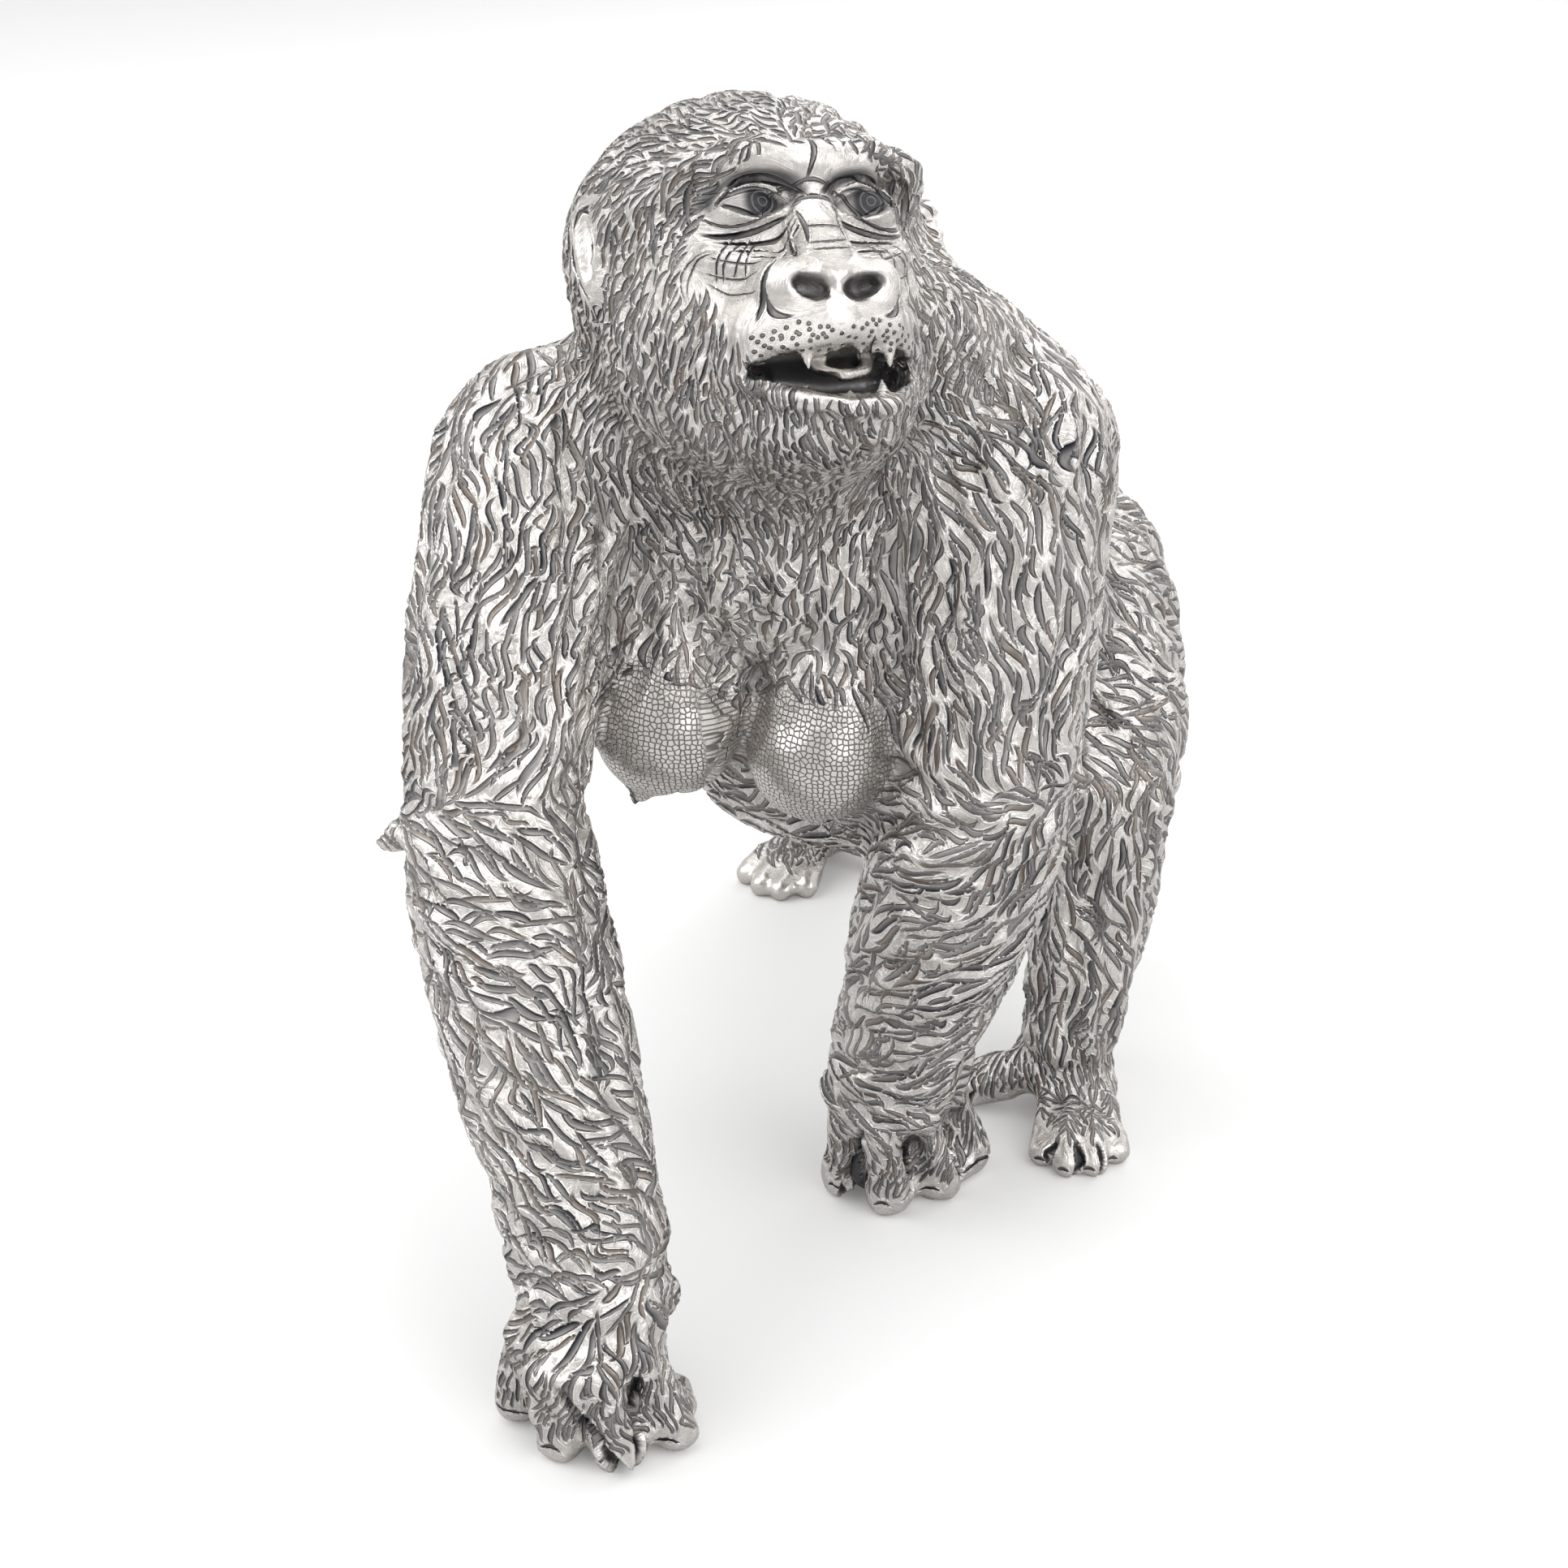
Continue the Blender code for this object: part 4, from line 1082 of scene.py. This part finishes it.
def silver():
    """Polished metal, oxidised dark in every groove, with painted shade on one wall of each groove and in
    the eye sockets, and a painted highlight along each groove's edge.
    """
    material = bpy.data.materials.new("oxidised_silver_chased")
    material.use_nodes = True
    tree = material.node_tree
    shader = tree.nodes["Principled BSDF"]

    def node(kind, **settings):
        made = tree.nodes.new(kind)
        for key, value in settings.items():
            setattr(made, key, value)
        return made

    def feed(value, socket):
        """Joins an output to the socket, or writes a plain value on it."""
        if isinstance(value, (int, float, tuple)):
            socket.default_value = value
        else:
            tree.links.new(value, socket)

    def sum_of(operation, *values, clamp=False):
        made = node("ShaderNodeMath", operation=operation, use_clamp=clamp)
        for value, socket in zip(values, made.inputs):
            feed(value, socket)
        return made.outputs[0]

    def times(first, second):
        return sum_of("MULTIPLY", first, second)

    def less(first, second):
        return sum_of("SUBTRACT", first, second)

    def larger(first, second, clamp=False):
        return sum_of("MAXIMUM", first, second, clamp=clamp)

    def ramp(value, low, high, to_low=0.0, to_high=1.0):
        made = node("ShaderNodeMapRange", interpolation_type="SMOOTHSTEP")
        for number, socket in zip((value, low, high, to_low, to_high), made.inputs):
            feed(number, socket)
        return made.outputs[0]

    def measured(name):
        """The vector kept on the mesh under this name, and its three numbers."""
        vector = node("ShaderNodeAttribute", attribute_name=name).outputs["Vector"]
        parts = node("ShaderNodeSeparateXYZ")
        feed(vector, parts.inputs[0])
        return vector, *parts.outputs

    def cloud(vector, scale, detail):
        made = node("ShaderNodeTexNoise")
        for name, value in (("Vector", vector), ("Scale", scale), ("Detail", detail)):
            feed(value, made.inputs[name])
        return made.outputs[0]

    def blend(factor, first, second):
        """From the first colour, at 0, to the second, at 1."""
        made = node("ShaderNodeMix", data_type="RGBA")
        for name, value in (("Factor", factor), ("A", first), ("B", second)):
            feed(value, made.inputs[name])
        return made.outputs["Result"]

    _, run, off, tag = measured("hair")
    level = less(less(1.0, times(run, run)), times(off, off))
    groove = ramp(level, 0.0, 0.55)
    # the band just outside each groove, raised in the bump and painted as a highlight in the colour
    rim = less(ramp(level, -1.3, -0.4), ramp(level, -0.15, 0.05))

    where = node("ShaderNodeTexCoord").outputs["Object"]
    blotch = cloud(where, 140, 4)
    grain = cloud(where, 2600, 3)

    # hair lines along each groove
    spread = node("ShaderNodeCombineXYZ")
    for value, socket in zip((times(run, 0.8), times(off, 2.6), times(tag, 50.0)), spread.inputs):
        feed(value, socket)
    lines = cloud(spread.outputs[0], 1.6, 2)

    # crackle of the bare skin
    flat, _, _, bare = measured("net")
    cells = node("ShaderNodeTexVoronoi", feature="DISTANCE_TO_EDGE", voronoi_dimensions="2D")
    for name, value in (("Vector", flat), ("Scale", 2.0), ("Randomness", 0.6)):
        feed(value, cells.inputs[name])
    crack = times(ramp(cells.outputs["Distance"], 0.04, 0.15, 1.0, 0.0), bare)

    # rings of the iris, and the triangle of white beside it
    _, across, up, uncovered = measured("eye")
    out = sum_of("SQRT", sum_of("ADD", times(across, across), times(up, up)))
    iris = ramp(sum_of("ABSOLUTE", less(out, 1.0)), 0.04, 0.15, 0.8, 0.0)
    pupil = ramp(sum_of("ABSOLUTE", less(out, 0.42)), 0.03, 0.12, 0.7, 0.0)
    rings = larger(iris, pupil)
    dark_eye = less(ramp(out, 1.25, 2.1, 0.95, 0.35), times(rings, 0.2))

    # oxidised creases, the mouth and nostrils darker, and painted shade in the eye sockets
    cavity_oxide_and_shade = node("ShaderNodeAttribute", attribute_name="cavity_oxide_and_shade").outputs["Fac"]
    worn = ramp(blotch, 0.3, 0.7, 0.85, 1.1)
    per_groove = ramp(tag, 0.0, 1.0, 0.8, 1.0)
    # painted shade: one wall of each groove is darker than the other, as if lit from one side
    painted_wall_shade = ramp(off, -0.7, 0.8, 1.0, 0.6)
    # each groove oxidised dark, with painted shade on one wall; then the oxidised creases with the painted
    # shade of the eye sockets, the dark eyes and the crackle of the skin
    oxide_and_painted_shade = times(times(times(ramp(level, 0.0, 0.3), per_groove), worn), painted_wall_shade)
    oxide_and_painted_shade = larger(oxide_and_painted_shade, times(cavity_oxide_and_shade, 0.92))
    oxide_and_painted_shade = larger(oxide_and_painted_shade, times(dark_eye, uncovered))
    oxide_and_painted_shade = larger(oxide_and_painted_shade, times(crack, 0.75), clamp=True)

    # satin metal with a painted highlight along the edge of each groove, and brighter in worn patches
    rim_highlight_and_wear = larger(rim, ramp(blotch, 0.5, 0.75, 0.0, 0.3), clamp=True)
    metal = blend(rim_highlight_and_wear, (0.84, 0.80, 0.765, 1), (0.97, 0.945, 0.92, 1))
    # most grooves are blue-black, some only brown
    tarnish = blend(ramp(tag, 0.74, 0.8), (0.045, 0.048, 0.058, 1), (0.2, 0.165, 0.145, 1))
    feed(blend(oxide_and_painted_shade, metal, tarnish), shader.inputs["Base Color"])
    shader.inputs["Metallic"].default_value = 1.0
    rough = sum_of("MULTIPLY_ADD", oxide_and_painted_shade, 0.22, ramp(grain, 0.3, 0.7, 0.2, 0.34))
    feed(rough, shader.inputs["Roughness"])

    height = times(groove, -1.0)
    for value, share in ((rings, 0.3), (rim, 0.25), (lines, 0.35), (crack, -0.5), (grain, 0.05)):
        height = sum_of("MULTIPLY_ADD", value, share, height)
    bump = node("ShaderNodeBump")
    for name, value in (("Strength", 0.9), ("Distance", 0.00026), ("Height", height)):
        feed(value, bump.inputs[name])
    feed(bump.outputs[0], shader.inputs["Normal"])
    return material


def for_camera(tree, socket, lit, seen):
    """Gives the socket one value for light and reflections, and another where the camera looks."""
    path = tree.nodes.new("ShaderNodeLightPath")
    chosen = tree.nodes.new("ShaderNodeMix")
    if isinstance(seen, tuple):
        chosen.data_type = "RGBA"
    chosen.inputs["A"].default_value = lit
    chosen.inputs["B"].default_value = seen
    tree.links.new(path.outputs["Is Camera Ray"], chosen.inputs["Factor"])
    tree.links.new(chosen.outputs["Result"], socket)


def studio(shift):
    """White sweep, soft lights and the camera."""
    scene = bpy.context.scene
    scene.view_settings.view_transform = "Standard"
    world = bpy.data.worlds.new("studio")
    scene.world = world
    world.use_nodes = True
    back = world.node_tree.nodes["Background"]
    back.inputs["Color"].default_value = (1, 1, 1, 1)
    for_camera(world.node_tree, back.inputs["Strength"], SKY_LIGHT, 1.0)

    data = bpy.data.meshes.new("floor")
    half = FLOOR_HALF
    corners = [(-half, -half, 0), (half, -half, 0), (half, half, 0), (-half, half, 0)]
    data.from_pydata(corners, [], [(0, 1, 2, 3)])
    floor = bpy.data.objects.new("floor", data)
    scene.collection.objects.link(floor)
    white = bpy.data.materials.new("white_sweep")
    white.use_nodes = True
    tree = white.node_tree
    shade = tree.nodes["Principled BSDF"]
    for_camera(tree, shade.inputs["Base Color"], FLOOR_TONE, FLOOR_SEEN)
    for_camera(tree, shade.inputs["Emission Strength"], 0.0, FLOOR_GLOW)
    shade.inputs["Emission Color"].default_value = (1, 1, 1, 1)
    shade.inputs["Roughness"].default_value = 0.9
    shade.inputs["Specular IOR Level"].default_value = 0.1
    data.materials.append(white)

    for name, spot, size, power in (
        ("key", (-0.6, -0.45, 0.7), 0.9, 3.3),
        ("fill", (0.75, -0.3, 0.5), 0.8, 2.6),
        ("back", (0.1, 0.8, 0.65), 0.9, 2.8),
        ("top", (0.0, -0.05, 1.0), 0.8, 2.5),
    ):
        lamp = bpy.data.lights.new(name, "AREA")
        lamp.shape = "SQUARE"
        lamp.size = size
        lamp.energy = power
        holder = bpy.data.objects.new(name, lamp)
        holder.location = spot
        aim = Vector((0, 0, 0.06)) - Vector(spot)
        holder.rotation_euler = aim.to_track_quat("-Z", "Y").to_euler()
        scene.collection.objects.link(holder)

    glass = bpy.data.cameras.new("camera")
    glass.lens = LENS_LENGTH
    camera = bpy.data.objects.new("camera", glass)
    camera.location = (CAMERA_SPOT + Vector(shift)) * MM
    camera.rotation_euler = (math.radians(90 - CAMERA_DOWN), 0, math.radians(CAMERA_ROUND))
    scene.collection.objects.link(camera)
    scene.camera = camera


def main():
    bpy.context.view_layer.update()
    body = forms()
    clay = Clay()
    clay.absorb(body)
    clay.frame = head_frame()
    eyeballs(clay)
    mouth_inside(clay)
    body = clay.done("body")
    remesh(body, FINE_VOXEL, 2)
    body = settled(body, "body")
    carve_locks(body)
    refine(body)
    put_back(body.data, softened(vectors(body.data.vertices, "co"), edge_pairs(body.data), 2))
    press_eyes(body)
    chasing = Chasing(body)
    fur(chasing)
    bpy.context.view_layer.update()
    face_lines(chasing, body)
    digits(chasing, body)
    net_of_skin(body)
    chasing.carve()
    cavities(body)
    shift = settle_on_floor(body)
    for piece in split(body, shift, silver()):
        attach(piece, "root")
        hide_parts("gorilla")
    studio(shift)


main()
